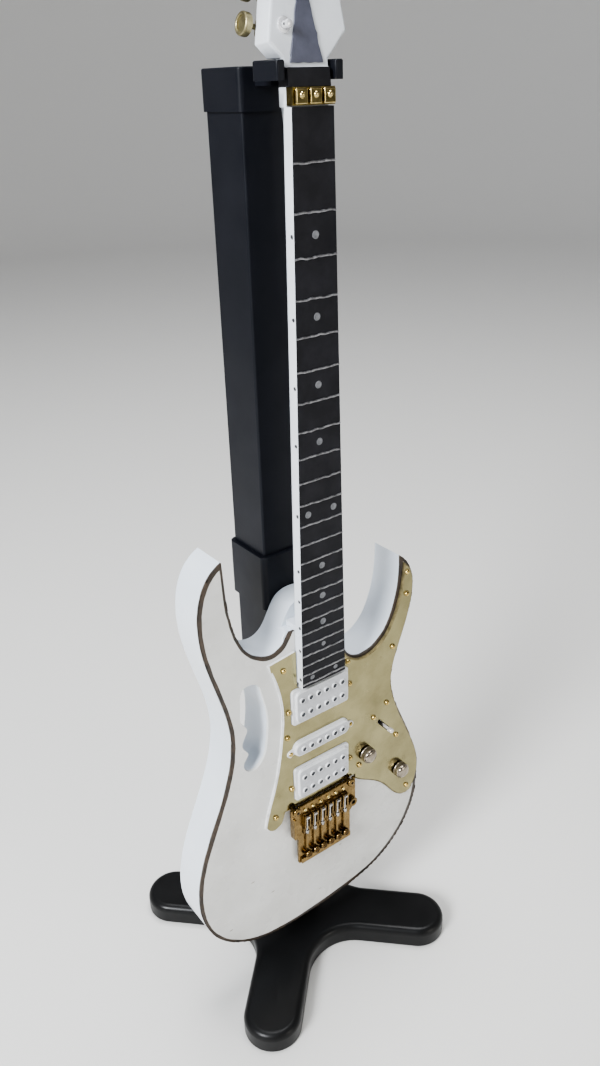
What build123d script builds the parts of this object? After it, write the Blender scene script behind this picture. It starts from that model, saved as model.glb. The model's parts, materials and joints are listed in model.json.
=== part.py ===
from build123d import *
import math
import os

# Miniature electric guitar hanging on a four-legged display stand.
# Units are millimetres, +Z is up and the guitar faces -Y.
# The origin is the middle of the stand's footprint, on the table.

# ---------- stand ----------
leg_reach = 47.8          # base middle to the middle of a leg's round end
leg_half_w = 10.0         # half the width of a leg, and the radius of its end
base_h = 7.8              # height of the base
base_crotch_r = 17.0      # hollow radius between two legs
base_top_r = 2.6          # rounding of the upper rim
base_bottom_r = 0.8       # rounding of the lower rim
socket_floor = 2.0        # plastic left under the post
post_back = 3.6           # how far the post stands behind the base middle
post_side = 16.6          # outside of the square tube
post_wall = 1.3
post_corner_r = 0.7
sleeve_wall = 1.3
sleeve_h = 18.7
sleeve_top_below_nut = 124.3
cap_wall = 0.8
cap_h = 10.0
cap_roof = 1.6
cap_above_nut = 9.0
yoke_arm = 2.4            # thickness of an arm
yoke_h = 4.3
yoke_depth = 10.3         # front tip to the back of the cross bar
yoke_bar = 4.0            # depth of the cross bar
yoke_play = 1.1           # each side of the neck
yoke_top_above_nut = 9.9
yoke_tip_behind = 0.5     # arm tips behind the fretboard surface
yoke_stem_w = 9.0
yoke_tenon = 0.6          # depth of the stem let into the cap

# ---------- guitar, overall ----------
scale_len = 216.0         # nut to saddle line
bridge_z = 71.5           # saddle line above the table
body_th = 13.0
top_th = 1.0              # thin face plate of the body
body_gap = 1.5            # body back to post front
fb_lift = 3.5             # fretboard surface above the body face

# ---------- neck ----------
fb_th = 2.0
nut_w = 12.6
fret_24_w = 16.9
fb_tail = 1.5             # board past the last fret
neck_th_nut = 3.8         # wood behind the fretboard
neck_th_heel = 4.6
pocket_depth = 4.5        # below the body face
heel_into_body = 20.0     # length of the heel block
heel_top_w = 79.9         # top of the heel above the saddle line
fret_count = 24
fret_w = 0.7
fret_h = 0.35
dot_d = 2.1
dot_pair = 4.6            # half the distance between paired dots
side_dot_d = 0.8
dot_proud = 0.08

# ---------- head ----------
head_tilt = 5.0           # degrees
head_th = 5.6
head_setback = 1.5        # head face behind the fretboard surface, at the nut
head_foot = 8.4           # where the broad head starts, above the nut
head_lean = 11.3          # lean of the tuner row, degrees
post_d = 1.9
post_run = 0.05           # running clearance, radial
post_proud = 2.6
bushing_d = 3.6
bushing_h = 0.6
tuner_pitch = 7.2
tuner_count = 6
tuner_edge = 3.9          # post line inside the head's edge
housing_w = 3.6
housing_l = 4.6
housing_h = 2.6
key_shaft_d = 1.2
key_run = 0.06
key_d = 5.2
key_th = 2.0
key_gap = 1.2             # head edge to key
panel_half_w = 4.8
panel_len = 19.2
panel_th = 0.4
lock_l = 3.9
lock_h = 0.5              # lock block above the fretboard
lock_gap = 0.3
clamp_w = 3.5
clamp_h = 0.9
clamp_pitch = 4.15

# ---------- guard, pickups and controls ----------
guard_th = 0.9
guard_inset = 0.7
screw_ball_d = 1.5
screw_shank_d = 0.8
screw_len = 3.0
pu_w = 22.6
pu_h = 13.2
pu_single_h = 5.4
pu_r = 1.4
single_r = 2.5
pu_th = 5.2
pu_proud = 1.6            # above the guard
pu_play = 0.3
pole_d = 1.8
pole_h = 0.45
pole_bore = 0.8
pole_pitch = 3.2
row_half = 2.65
neck_pu_w = 45.0          # middle of each pickup above the saddle line
mid_pu_w = 28.6
bridge_pu_w = 14.1
pu_screw_gap = 1.1        # pickup side to the middle of its screw
knob_d = 5.8
knob_h = 3.4
knob_lift = 0.4
pot_shaft_d = 2.0
pot_shaft_run = 0.05
pot_nut_d = 3.2
pot_can_d = 6.0
pot_can_h = 3.0
control_depth = 6.0
volume_xy = (19.6, 11.4)
tone_xy = (35.2, -3.6)
switch_xy = (28.4, 18.6)
switch_lean = -50.0      # run of the slot from +X, degrees
slot_l = 10.5
slot_w = 1.5
switch_screw_half = 8.3
lever_w = 1.0
lever_len = 4.0
switch_frame_w = 3.2

# ---------- tremolo ----------
trem_top_w = 4.6          # front edge of the plate above the saddle line
trem_step_w = -8.4
trem_tail_w = -20.0
trem_half_w = 13.8
trem_tail_half_w = 11.3
trem_th = 1.2
trem_lift = 1.0           # plate underside above the body face
trem_wall_h = 1.6
string_pitch = 3.28
saddle_w = 2.7
saddle_l = 8.6
saddle_h = 2.0
tuner_screw_d = 2.5
tuner_screw_l = 2.2
stud_inset = 2.1          # plate side to the middle of a stud
stud_w = 3.6
stud_d = 3.0
stud_post_d = 1.6
block_w = 18.0
block_t = 3.4
block_depth = 5.0
block_play = 1.2

# ---------- derived places ----------
stud_x = trem_half_w - stud_inset
nut_z = bridge_z + scale_len
post_front_y = post_back - post_side / 2
back_y = post_front_y - body_gap
face_y = back_y - body_th
fb_y = face_y - fb_lift
neck_y = fb_y + fb_th
guard_y = face_y - guard_th
floor_y = face_y + pocket_depth
plate_y = face_y - trem_lift


def fret_at(n):
    """Distance of fret n below the nut, by the equal-tempered rule."""
    return scale_len * (1 - 2 ** (-n / 12))


fb_len = fret_at(fret_count) + fb_tail
taper = (fret_24_w - nut_w) / fret_at(fret_count)


def board_w(drop):
    """Width of the fretboard at a distance below the nut."""
    return nut_w + taper * drop


def front(y):
    """Drawing plane that faces the player; its origin is on the saddle line."""
    return Plane(origin=(0, y, bridge_z), x_dir=(1, 0, 0), z_dir=(0, -1, 0))


def slab(sketch, y, depth):
    """Solid with its front at y, reaching depth backwards."""
    return extrude(front(y) * sketch, -depth)


def rod(x, w, y, d, depth):
    """Round bar along Y with its front end at y."""
    return slab(Pos(x, w) * Circle(d / 2), y, depth)


def group(solids):
    return Compound(children=list(solids))


parts = {}


def keep(name, shape):
    shape.label = name
    parts[name] = shape


# =====================================================================
# Stand
# =====================================================================
def make_stand():
    bar = SlotOverall(2 * (leg_reach + leg_half_w), 2 * leg_half_w)
    base = extrude(Rot(0, 0, 45) * bar + Rot(0, 0, -45) * bar, base_h)
    inner = base.edges().filter_by(Axis.Z).sort_by(lambda e: e.center().X ** 2 + e.center().Y ** 2)[:4]
    base = fillet(inner, base_crotch_r)
    base = fillet(base.faces().sort_by(Axis.Z)[-1].edges(), base_top_r)
    base = fillet(base.faces().sort_by(Axis.Z)[0].edges(), base_bottom_r)
    square = Pos(0, post_back) * RectangleRounded(post_side, post_side, post_corner_r)
    bore = Pos(0, post_back) * RectangleRounded(post_side - 2 * post_wall, post_side - 2 * post_wall, 0.3)
    base -= extrude(Pos(0, 0, socket_floor) * square, base_h)
    keep("stand_base", base)

    sleeve_z1 = nut_z - sleeve_top_below_nut
    joint_z = sleeve_z1 - sleeve_h / 2
    cap_z1 = nut_z + cap_above_nut
    post_z1 = cap_z1 - cap_roof
    tube = square - bore
    keep("post_lower", extrude(Pos(0, 0, socket_floor) * tube, joint_z - socket_floor))
    keep("post_upper", extrude(Pos(0, 0, joint_z) * tube, post_z1 - joint_z))

    collar_side = post_side + 2 * sleeve_wall
    collar = extrude(Pos(0, post_back, sleeve_z1 - sleeve_h)
                     * RectangleRounded(collar_side, collar_side, post_corner_r + sleeve_wall), sleeve_h)
    collar = chamfer(collar.faces().filter_by(Axis.Z).edges(), 0.3)
    keep("post_sleeve", collar - extrude(Pos(0, 0, sleeve_z1 - 2 * sleeve_h) * square, 3 * sleeve_h))

    cap_side = post_side + 2 * cap_wall
    cap = extrude(Pos(0, post_back, cap_z1 - cap_h)
                  * RectangleRounded(cap_side, cap_side, post_corner_r + cap_wall), cap_h)
    cap = fillet(cap.faces().sort_by(Axis.Z)[-1].edges(), 0.5)
    cap -= extrude(Pos(0, 0, cap_z1 - cap_h) * square, cap_h - cap_roof)

    yoke_z1 = nut_z + yoke_top_above_nut
    slot = nut_w + 2 * yoke_play
    tip_y = fb_y + yoke_tip_behind
    cap_front = post_back - cap_side / 2
    outer_w = slot + 2 * yoke_arm
    yoke = extrude(Pos(0, tip_y + yoke_depth / 2, yoke_z1 - yoke_h)
                   * Rectangle(outer_w, yoke_depth), yoke_h)
    yoke = fillet(yoke.edges().filter_by(Axis.Z).sort_by(Axis.Y)[2:], 1.0)
    arm_len = yoke_depth - yoke_bar
    yoke -= extrude(Pos(0, tip_y + arm_len / 2, yoke_z1 - 2 * yoke_h)
                    * Rectangle(slot, arm_len), 3 * yoke_h)
    yoke = fillet(yoke.edges().filter_by(Axis.Z).filter_by_position(Axis.Y, tip_y - 0.01, tip_y + 0.01), 0.5)
    yoke = chamfer(yoke.faces().sort_by(Axis.Z)[-1].edges(), 0.3)
    stem_y0 = tip_y + yoke_depth - 0.5
    stem_y1 = cap_front + yoke_tenon
    stem_z0 = cap_z1 - cap_roof - 0.2 - yoke_h * 0.6
    stem = extrude(Pos(0, (stem_y0 + stem_y1) / 2, stem_z0)
                   * Rectangle(yoke_stem_w, stem_y1 - stem_y0), yoke_h * 0.6)
    yoke += stem
    tenon = extrude(Pos(0, stem_y1 - yoke_tenon / 2, stem_z0)
                    * Rectangle(yoke_stem_w, yoke_tenon), yoke_h * 0.6)
    keep("post_cap", cap - tenon)
    keep("neck_yoke", yoke)


# =====================================================================
# Guitar body.  Points are (x, height above the saddle line).
# =====================================================================
horn_l = (-32.0, 103.5)
horn_r = (35.0, 83.2)
flank_r = [(45.5, -9.0), (41.0, 9.5), (34.5, 25.0), (31.7, 37.5), (35.6, 52.0), (40.2, 67.0), (39.2, 78.0)]
edge_outer = [
    horn_l, (-37.2, 99.2), (-41.0, 85.0), (-37.6, 65.0), (-33.0, 42.0), (-36.0, 26.0),
    (-44.6, 5.0), (-49.3, -15.0), (-45.0, -33.0), (-32.5, -44.8), (-12.0, -49.0), (8.0, -48.2),
    (26.0, -44.3), (38.5, -34.5), (44.8, -21.5), *flank_r, horn_r,
]
heel_l = (-12.4, 68.9)
heel_r = (12.4, 55.6)
cut_left = [horn_l, (-31.3, 91.0), (-29.2, 79.2), (-23.6, 69.6), (-17.6, 66.8), heel_l]
crook_r = [(17.6, 52.4), (26.0, 54.8), (32.2, 64.0), (34.7, 75.0)]
cut_right = [heel_r, *crook_r, horn_r]
heel_hump = [heel_l, (-9.2, 74.0), (-5.8, 78.6), (-0.5, heel_top_w), (5.2, 78.2), (8.9, 71.5), (9.9, 62.5), heel_r]


def body_sketch(hump):
    """Outline of the body; hump is the part of the edge between the two cutaways."""
    outer = Spline(*edge_outer)
    left = Spline(*cut_left)
    right = Spline(*cut_right)
    edge = Spline(*hump) if len(hump) > 2 else Line(*hump)
    return make_face([outer, right, edge, left])


def grip_sketch():
    """Hand-hold near the bass edge, with three finger scallops."""
    hole = Spline(
        (-24.9, 59.8), (-28.3, 59.2), (-29.4, 53.0), (-29.2, 47.2), (-27.5, 44.4),
        (-29.2, 40.4), (-29.2, 37.6), (-27.6, 34.9), (-29.2, 32.2), (-28.6, 28.8),
        (-25.6, 27.7), (-22.3, 30.1), (-20.2, 37.0), (-19.8, 47.6), (-21.4, 55.0),
        periodic=True)
    return make_face([hole])


def pu_shape(w, height, play=0.0):
    radius = pu_r if height > pu_single_h else single_r
    return Pos(0, w) * RectangleRounded(pu_w + 2 * play, height + 2 * play, radius + play)


def pu_hole(w, height):
    return pu_shape(w, height, pu_play)


def pickup_holes():
    return pu_hole(neck_pu_w, pu_h) + pu_hole(mid_pu_w, pu_single_h) + pu_hole(bridge_pu_w, pu_h)


def control_sketch():
    """Hollow for the two controls and the switch, under the guard."""
    wide = pot_can_d + 2.0
    path = [volume_xy, tone_xy]
    spots = Sketch() + [Pos(*p) * Circle(wide / 2) for p in path]
    web = Pos((volume_xy[0] + tone_xy[0]) / 2, (volume_xy[1] + tone_xy[1]) / 2) * Rot(0, 0, -45) \
        * Rectangle(math.dist(volume_xy, tone_xy), wide * 0.6)
    switch = Pos(*switch_xy) * Rot(0, 0, switch_lean) * RectangleRounded(slot_l + 2.0, switch_frame_w + 1.0, 0.8)
    return spots + web + switch


def pocket_sketch(play):
    """Neck pocket from the top of the heel down to the end of the board."""
    low = scale_len - fb_len + fb_tail
    top = low + heel_into_body
    half_low = board_w(scale_len - low) / 2 + play
    half_top = board_w(scale_len - top) / 2 + play
    return make_face(Polyline((-half_low, low), (half_low, low), (half_top, top), (-half_top, top), close=True))


def make_body():
    hump = body_sketch(heel_hump)
    step_w = 72.3
    body = slab(hump, face_y, body_th)
    shelf = slab(Pos(0, step_w + 20) * Rectangle(24.8, 40), face_y - 1, pocket_depth + 1)
    body -= shelf
    body -= slab(pocket_sketch(0.1), face_y - 1, pocket_depth + 1)
    body -= slab(grip_sketch(), face_y - 1, body_th + 2)
    plate_zone = slab(Rectangle(300, 300), face_y - 5, top_th + 5)
    top = body & plate_zone
    core = body - plate_zone
    holes = pickup_holes()
    top -= slab(holes, face_y - 1, top_th + 2)
    core -= slab(holes, face_y - 1, pu_th + 1.2)
    controls = control_sketch()
    top -= slab(controls, face_y - 1, top_th + 2)
    core -= slab(controls, face_y - 1, control_depth + 1)
    well_w = block_w + 2 * block_play
    well_l = block_t + 2 * block_play + 1.6
    well = Pos(0, trem_top_w - 1.6 - well_l / 2) * RectangleRounded(well_w, well_l, 1.0)
    top -= slab(well, face_y - 1, top_th + 2)
    core -= slab(well, face_y - 1, block_depth + block_play + 2)
    for x in (-stud_x, stud_x):
        hole = rod(x, stud_w, face_y - 1, stud_post_d, 6.0)
        top -= hole
        core -= hole
    for x, w in neck_bolt_spots():
        hole = rod(x, w, floor_y - 1, bolt_d, body_th)
        core -= hole
        core -= rod(x, w, back_y - bolt_head_h, bolt_head_d, 2 * bolt_head_h)
    keep("body_core", core)
    keep("body_top", top)


# =====================================================================
# Neck, fretboard and frets
# =====================================================================
bolt_d = 1.4
bolt_head_d = 3.0
bolt_head_h = 1.0
bolt_bite = 3.0


def neck_bolt_spots():
    low = scale_len - fb_len + fb_tail
    mid = low + heel_into_body / 2
    return [(x, mid + dw) for x in (-4.6, 4.6) for dw in (-4.8, 4.8)]


def d_profile(drop, thick):
    """Back of the neck at a distance below the nut: short sides and a round back."""
    half = board_w(drop) / 2
    side = 0.9
    pts = [(-half, neck_y), (half, neck_y), (half, neck_y + side)]
    lines = [Line(pts[0], pts[1]), Line(pts[1], pts[2])]
    lines.append(EllipticalCenterArc((0, neck_y + side), half, thick - side, start_angle=0, arc_size=180))
    lines.append(Line((-half, neck_y + side), (-half, neck_y)))
    return Plane(origin=(0, 0, nut_z - drop)) * make_face(lines)


head_plane = Plane(
    origin=(0, fb_y + head_setback, nut_z),
    x_dir=(1, 0, 0),
    z_dir=(0, -math.cos(math.radians(head_tilt)), math.sin(math.radians(head_tilt))))
row_dir = (math.sin(math.radians(head_lean)), math.cos(math.radians(head_lean)))
row_out = (-row_dir[1], row_dir[0])
head_rest = yoke_top_above_nut + 0.2
edge_start = (-10.4, 13.6)
tip = (5.6, 63.0)


def edge_point(along, out=0.0):
    """Point beside the head's straight edge, measured along and away from it."""
    return (edge_start[0] + along * row_dir[0] + out * row_out[0],
            edge_start[1] + along * row_dir[1] + out * row_out[1])


def head_sketch():
    """Outline of the head from its foot, between the yoke's arms, to the pointed tip."""
    half = nut_w / 2 + 0.4
    top_l = edge_point(46.0)
    left_low = (-half, head_foot)
    left_in = (-half, head_rest)
    right_low = (half, head_foot)
    right_in = (half, head_rest)
    return make_face([
        Line(right_low, left_low), Line(left_low, left_in), Line(left_in, edge_start),
        Line(edge_start, top_l), ThreePointArc(top_l, (1.6, 60.4), tip),
        Spline(tip, (7.0, 53.0), (8.6, 40.0), (11.2, 24.0), (12.7, 15.9)),
        Spline((12.7, 15.9), (10.2, 13.6), (half + 1.5, head_rest + 1.3), right_in), Line(right_in, right_low)])


def post_spot(i):
    return edge_point(4.2 + i * tuner_pitch, -tuner_edge)


def make_neck():
    heel_low = scale_len - fb_len + fb_tail
    heel_top = heel_low + heel_into_body
    shaft_end = scale_len - heel_top
    shaft = loft([d_profile(0, neck_th_nut), d_profile(shaft_end, neck_th_heel)])
    stub = extrude(Pos(0, neck_y + neck_th_nut / 2, nut_z) * Rectangle(nut_w, neck_th_nut), head_rest + 3.0)
    stub = fillet(stub.edges().filter_by(Axis.Z).sort_by(Axis.Y)[2:], 1.4)
    ahead = extrude(head_plane * (Pos(0, head_foot + 30) * Rectangle(60, 60)), 10)
    heel = slab(pocket_sketch(0.0), neck_y, floor_y - neck_y)
    head = extrude(head_plane * head_sketch(), -head_th)
    head = chamfer(head.faces().sort_by(Axis.Y)[0].edges(), 0.35)
    # The broad part of the head starts above the yoke, which it rests on.
    below = extrude(Plane(origin=(0, 0, nut_z)) * Pos(0, neck_y) * Rectangle(60, 60), head_rest)
    foot_y1 = neck_y + neck_th_nut
    foot = extrude(Plane(origin=(0, 0, nut_z)) * Pos(0, foot_y1 - 15)
                   * Rectangle(nut_w + 0.8, 30), head_rest)
    head -= below - foot
    neck = shaft + (stub - ahead) + heel + head
    for i in range(tuner_count):
        neck -= extrude(head_plane * (Pos(*post_spot(i)) * Circle(post_d / 2 + post_run)), -30, both=True)
    for x, w in neck_bolt_spots():
        neck -= rod(x, w, floor_y - bolt_bite, bolt_d, 10)
    keep("neck", neck)

    low = scale_len - fb_len
    board = slab(make_face(Polyline(
        (-board_w(fb_len) / 2, low), (board_w(fb_len) / 2, low),
        (nut_w / 2, scale_len), (-nut_w / 2, scale_len), close=True)), fb_y, fb_th)
    board = chamfer(board.faces().sort_by(Axis.Y)[0].edges().filter_by(Axis.Z, reverse=True)
                    .sort_by(Axis.Z)[:1], 0.3)
    dots = []
    for n in (3, 5, 7, 9, 12, 15, 17, 19, 21, 24):
        w = scale_len - (fret_at(n - 1) + fret_at(n)) / 2
        spots = (-dot_pair, dot_pair) if n in (12, 24) else (0,)
        d = dot_d if n < 20 else dot_d * 0.75
        dots += [rod(x, w, fb_y - dot_proud, d, 0.5 + dot_proud) for x in spots]
    for dot in dots:
        board -= dot
    keep("fret_dots", group(dots))

    sides = []
    for n in (3, 5, 7, 9, 12, 15, 17, 19, 21, 24):
        drop = (fret_at(n - 1) + fret_at(n)) / 2
        x0 = -board_w(drop) / 2
        peg = Plane(origin=(x0 - dot_proud, fb_y + fb_th / 2, nut_z - drop), z_dir=(1, 0, 0))
        sides.append(extrude(peg * Circle(side_dot_d / 2), 1.0))
    for dot in sides:
        board -= dot
    keep("fretboard", board)
    keep("side_dots", group(sides))

    frets = []
    for n in range(1, fret_count + 1):
        drop = fret_at(n)
        half = board_w(drop) / 2 - 0.1
        wire = Plane(origin=(-half, fb_y, nut_z - drop), x_dir=(0, 0, 1), z_dir=(1, 0, 0))
        dome = make_face([Line((-fret_w / 2, 0), (fret_w / 2, 0)),
                          ThreePointArc((fret_w / 2, 0), (0, fret_h), (-fret_w / 2, 0))])
        frets.append(extrude(wire * dome, 2 * half))
    keep("frets", group(frets))

    bolts = []
    for x, w in neck_bolt_spots():
        bolt = rod(x, w, floor_y - bolt_bite, bolt_d, back_y - floor_y + bolt_bite)
        head_disc = rod(x, w, back_y - bolt_head_h, bolt_head_d, bolt_head_h + 0.3)
        slot = slab(Pos(x, w) * (Rectangle(1.8, 0.4) + Rectangle(0.4, 1.8)), back_y, 0.5)
        bolts.append(bolt + head_disc - slot)
    keep("neck_bolts", group(bolts))


def make_head():
    panel_low = head_foot + 0.8
    panel = make_face(Polyline(
        (-panel_half_w, panel_low), (panel_half_w, panel_low), (0.3, panel_low + panel_len),
        (-0.3, panel_low + panel_len), close=True))
    keep("headstock_panel", extrude(head_plane * panel, panel_th))

    # Black shelf that falls from the lock nut to the foot of the head.
    shelf_y = neck_y - 0.6
    side = Plane(origin=(-nut_w / 2, 0, nut_z), x_dir=(0, 1, 0), z_dir=(1, 0, 0))
    z0 = lock_gap + lock_l
    wedge = side * make_face(Polyline((neck_y, z0), (shelf_y - 0.5, z0), (shelf_y, head_foot - 0.1),
                                      (neck_y, head_foot - 0.1), close=True))
    keep("head_shelf", extrude(wedge, nut_w))

    lock_y = neck_y
    base = extrude(side * make_face(Polyline(
        (lock_y, lock_gap), (fb_y - lock_h, lock_gap), (fb_y - lock_h, z0), (lock_y, z0), close=True)), nut_w)
    clamps = []
    screws = []
    for i in (-1, 0, 1):
        x = i * clamp_pitch
        mid = lock_gap + lock_l / 2
        block = extrude(Plane(origin=(x, fb_y - lock_h, nut_z + mid), x_dir=(1, 0, 0), z_dir=(0, -1, 0))
                        * Rectangle(clamp_w, lock_l - 0.5), clamp_h)
        block = chamfer(block.faces().sort_by(Axis.Y)[0].edges(), 0.3)
        hole = rod(x, scale_len + mid, fb_y - 3, 0.9, 5)
        base -= rod(x, scale_len + mid, fb_y - 3, 0.9, 3.5)
        clamps.append(block - hole)
        top_y = fb_y - lock_h - clamp_h
        shank = rod(x, scale_len + mid, top_y, 0.9, clamp_h + 1.0)
        ball = rod(x, scale_len + mid, top_y - 0.6, 1.6, 0.6)
        ball = fillet(ball.faces().sort_by(Axis.Y)[0].edges(), 0.4)
        screws.append(ball + shank)
    keep("lock_nut_base", base)
    keep("lock_nut_clamps", group(clamps))
    keep("lock_nut_screws", group(screws))

    # Tuners: bushing in front, gear housing behind, post through the head.
    bushings = []
    housings = []
    for i in range(tuner_count):
        px, py = post_spot(i)
        ring = Circle(bushing_d / 2) - Circle(post_d / 2 + post_run)
        bushing = extrude(head_plane * (Pos(px, py) * ring), bushing_h)
        bushings.append(bushing)
        back = head_plane.offset(-head_th)
        spin = Rot(0, 0, -head_lean)
        box = extrude(back * (Pos(px, py) * spin * RectangleRounded(housing_l, housing_w, 0.5)), -housing_h)
        box -= extrude(back * (Pos(px, py) * Circle(post_d / 2 + post_run)), -0.6)
        axis_plane = key_plane(i)
        box -= extrude(axis_plane * Circle(key_shaft_d / 2 + key_run), 20, both=True) \
            & extrude(axis_plane * Circle(2), key_reach() + 0.2)
        housings.append(box)

        post = extrude(head_plane.offset(post_proud) * (Pos(px, py) * Circle(post_d / 2)),
                       -(post_proud + head_th + 0.5))
        post = fillet(post.faces().sort_by(Axis.Y)[0].edges(), 0.35)
        cross = Plane(origin=head_plane.offset(post_proud - 0.9).from_local_coords((px, py, 0)),
                      x_dir=head_plane.z_dir, z_dir=head_plane.from_local_coords((1, 0, 0)) - head_plane.origin)
        post -= extrude(cross * Circle(0.35), 5, both=True)
        keep(f"tuner_post_{i + 1}", post)

        shaft = extrude(axis_plane * Circle(key_shaft_d / 2), key_reach())
        knob = extrude(axis_plane.offset(key_reach()) * Circle(key_d / 2), key_th)
        knob = fillet(knob.edges().filter_by(GeomType.CIRCLE), 0.4)
        knob -= extrude(axis_plane.offset(key_reach() + key_th) * Circle(key_d / 2 - 0.8), -0.5)
        keep(f"tuner_key_{i + 1}", knob + shaft)
    keep("tuner_bushings", group(bushings))
    keep("tuner_housings", group(housings))


def key_reach():
    """From the shaft's inner end to the inner face of the key."""
    return tuner_edge + key_gap - 0.2


def key_plane(i):
    """Plane at the inner end of a key's shaft, facing out from the head's edge."""
    px, py = post_spot(i)
    depth = head_th + housing_h / 2 + 0.35
    start = head_plane.from_local_coords((px + row_out[0] * 0.2, py + row_out[1] * 0.2, -depth))
    ahead = head_plane.from_local_coords((px + row_out[0], py + row_out[1], -depth))
    base_point = head_plane.from_local_coords((px, py, -depth))
    return Plane(origin=start, z_dir=ahead - base_point)


# =====================================================================
# Guard, pickups, screws and controls
# =====================================================================
guard_left = [
    (-9.2, 65.4), (-19.2, 64.2), (-17.2, 58.6), (-15.2, 50.5), (-14.7, 42.0), (-15.7, 32.5),
    (-18.2, 19.5), (-22.2, 6.8), (-23.4, 2.0), (-20.8, -0.8), (-16.4, 0.6),
]
guard_low = [(14.9, 2.4), (19.4, -0.8), (24.2, -3.9), (28.2, -7.6), (32.2, -12.8), (37.0, -17.2), (41.2, -17.4)]


def guard_sketch():
    """Outline of the guard; on the treble side it runs just inside the body's edge."""
    inset = guard_inset
    right = [guard_low[-1]] + [(x - inset, w) for x, w in flank_r]
    right += [(horn_r[0] + 1.0, horn_r[1] - 2.4)]
    inner = [right[-1]] + [(x + inset * i / 3, w - inset * (3 - i) / 3) for i, (x, w) in enumerate(crook_r)][::-1]
    inner += [(heel_r[0] - 0.6, heel_r[1] - 0.6), (9.9, 60.0)]
    low = scale_len - fb_len - 0.3
    notch = board_w(fb_len) / 2 + 0.4
    trem_edge = trem_top_w + 0.8
    return make_face([
        Line(guard_left[0], guard_left[1]),
        Spline(*guard_left[1:9]),
        Spline(*guard_left[8:11]),
        Line(guard_left[10], (-15.4, trem_edge)),
        Line((-15.4, trem_edge), (guard_low[0][0], trem_edge)),
        Line((guard_low[0][0], trem_edge), guard_low[0]),
        Spline(*guard_low),
        Spline(*right),
        Spline(*inner),
        Line(inner[-1], (notch, inner[-1][1])),
        Line((notch, inner[-1][1]), (notch, low)),
        Line((notch, low), (-notch, low)),
        Line((-notch, low), (-notch, guard_left[0][1])),
        Line((-notch, guard_left[0][1]), guard_left[0]),
    ])


guard_screw_spots = [
    (-13.7, 60.4), (11.6, 53.0), (-13.2, 34.4), (29.0, 28.5), (16.6, 7.6), (39.4, -14.0),
    (-19.2, 4.6), (36.9, 77.2), (37.0, 69.0), (31.2, 50.6),
]


def ball_screw(x, w, y, length):
    shank = rod(x, w, y, screw_shank_d, length)
    ball = rod(x, w, y - screw_ball_d * 0.45, screw_ball_d, screw_ball_d * 0.45)
    ball = fillet(ball.faces().sort_by(Axis.Y)[0].edges(), screw_ball_d * 0.4)
    return ball + shank


def make_guard():
    guard = slab(guard_sketch(), guard_y, guard_th)
    guard -= slab(pickup_holes(), guard_y - 1, guard_th + 2)
    slot = Pos(*switch_xy) * Rot(0, 0, switch_lean) * SlotOverall(slot_l, slot_w)
    guard -= slab(slot, guard_y - 1, guard_th + 2)
    screws = [ball_screw(x, w, guard_y, screw_len) for x, w in guard_screw_spots]
    lean = math.radians(switch_lean)
    for s in (-1, 1):
        x = switch_xy[0] + s * switch_screw_half * math.cos(lean)
        w = switch_xy[1] + s * switch_screw_half * math.sin(lean)
        screws.append(ball_screw(x, w, guard_y, guard_th + 0.6))
    for s in screws:
        guard -= s
    top = parts["body_top"]
    core = parts["body_core"]
    for s in screws:
        top -= s
        core -= s
    pots = []
    knobs = {"knob_volume": volume_xy, "knob_tone": tone_xy}
    for name, (x, w) in knobs.items():
        guard -= rod(x, w, guard_y - 1, pot_nut_d - 0.6, 4)
        can = rod(x, w, face_y, pot_can_d, pot_can_h)
        bush = rod(x, w, guard_y, pot_nut_d - 0.6, guard_th)
        shaft = rod(x, w, guard_y - knob_lift - knob_h + 1.0, pot_shaft_d, knob_h + knob_lift)
        pots.append(can + bush + shaft)
        knob = rod(x, w, guard_y - knob_lift - knob_h, knob_d, knob_h)
        knob = fillet(knob.faces().sort_by(Axis.Y)[0].edges(), 1.1)
        knob -= rod(x, w, guard_y - knob_lift - knob_h + 1.0 - pot_shaft_run, pot_shaft_d + 2 * pot_shaft_run, 8)
        for k in range(16):
            a = 2 * math.pi * k / 16
            gx = x + knob_d / 2 * math.cos(a)
            gw = w + knob_d / 2 * math.sin(a)
            knob -= rod(gx, gw, guard_y - knob_lift - knob_h + 1.3, 0.4, 8)
        keep(name, knob)
    keep("pickguard", guard)
    keep("pickguard_screws", group(screws))
    keep("control_pots", group(pots))
    keep("body_top", top)
    keep("body_core", core)


def make_pickup(name, w, height, rows):
    top_y = guard_y - pu_proud
    cover = slab(pu_shape(w, height), top_y, pu_th + pu_proud + guard_th)
    cover = fillet(cover.faces().sort_by(Axis.Y)[0].edges(), 0.45)
    poles = []
    for row in rows:
        for i in range(6):
            x = (i - 2.5) * pole_pitch
            pole = rod(x, w + row, top_y - pole_h, pole_d, pole_h + 1.0)
            pole -= rod(x, w + row, top_y - pole_h, pole_bore, 0.8)
            pole = fillet(pole.edges().filter_by(GeomType.CIRCLE).group_by(Axis.Y)[0].sort_by(Edge.length)[-1:], 0.25)
            cover -= rod(x, w + row, top_y - pole_h, pole_d, pole_h + 1.0)
            poles.append(pole)
    keep(name, cover)
    return poles


def make_pickups():
    poles = make_pickup("pickup_neck", neck_pu_w, pu_h, (-row_half, row_half))
    poles += make_pickup("pickup_middle", mid_pu_w, pu_single_h, (0,))
    poles += make_pickup("pickup_bridge", bridge_pu_w, pu_h, (-row_half, row_half))
    keep("pickup_poles", group(poles))
    screws = []
    for w in (neck_pu_w, mid_pu_w, bridge_pu_w):
        for s in (-1, 1):
            screws.append(ball_screw(s * (pu_w / 2 + pu_screw_gap), w - 1.0, guard_y, guard_th))
    for s in screws:
        parts["pickguard"] -= s
    keep("pickguard", parts["pickguard"])
    keep("pickup_screws", group(screws))


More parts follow.
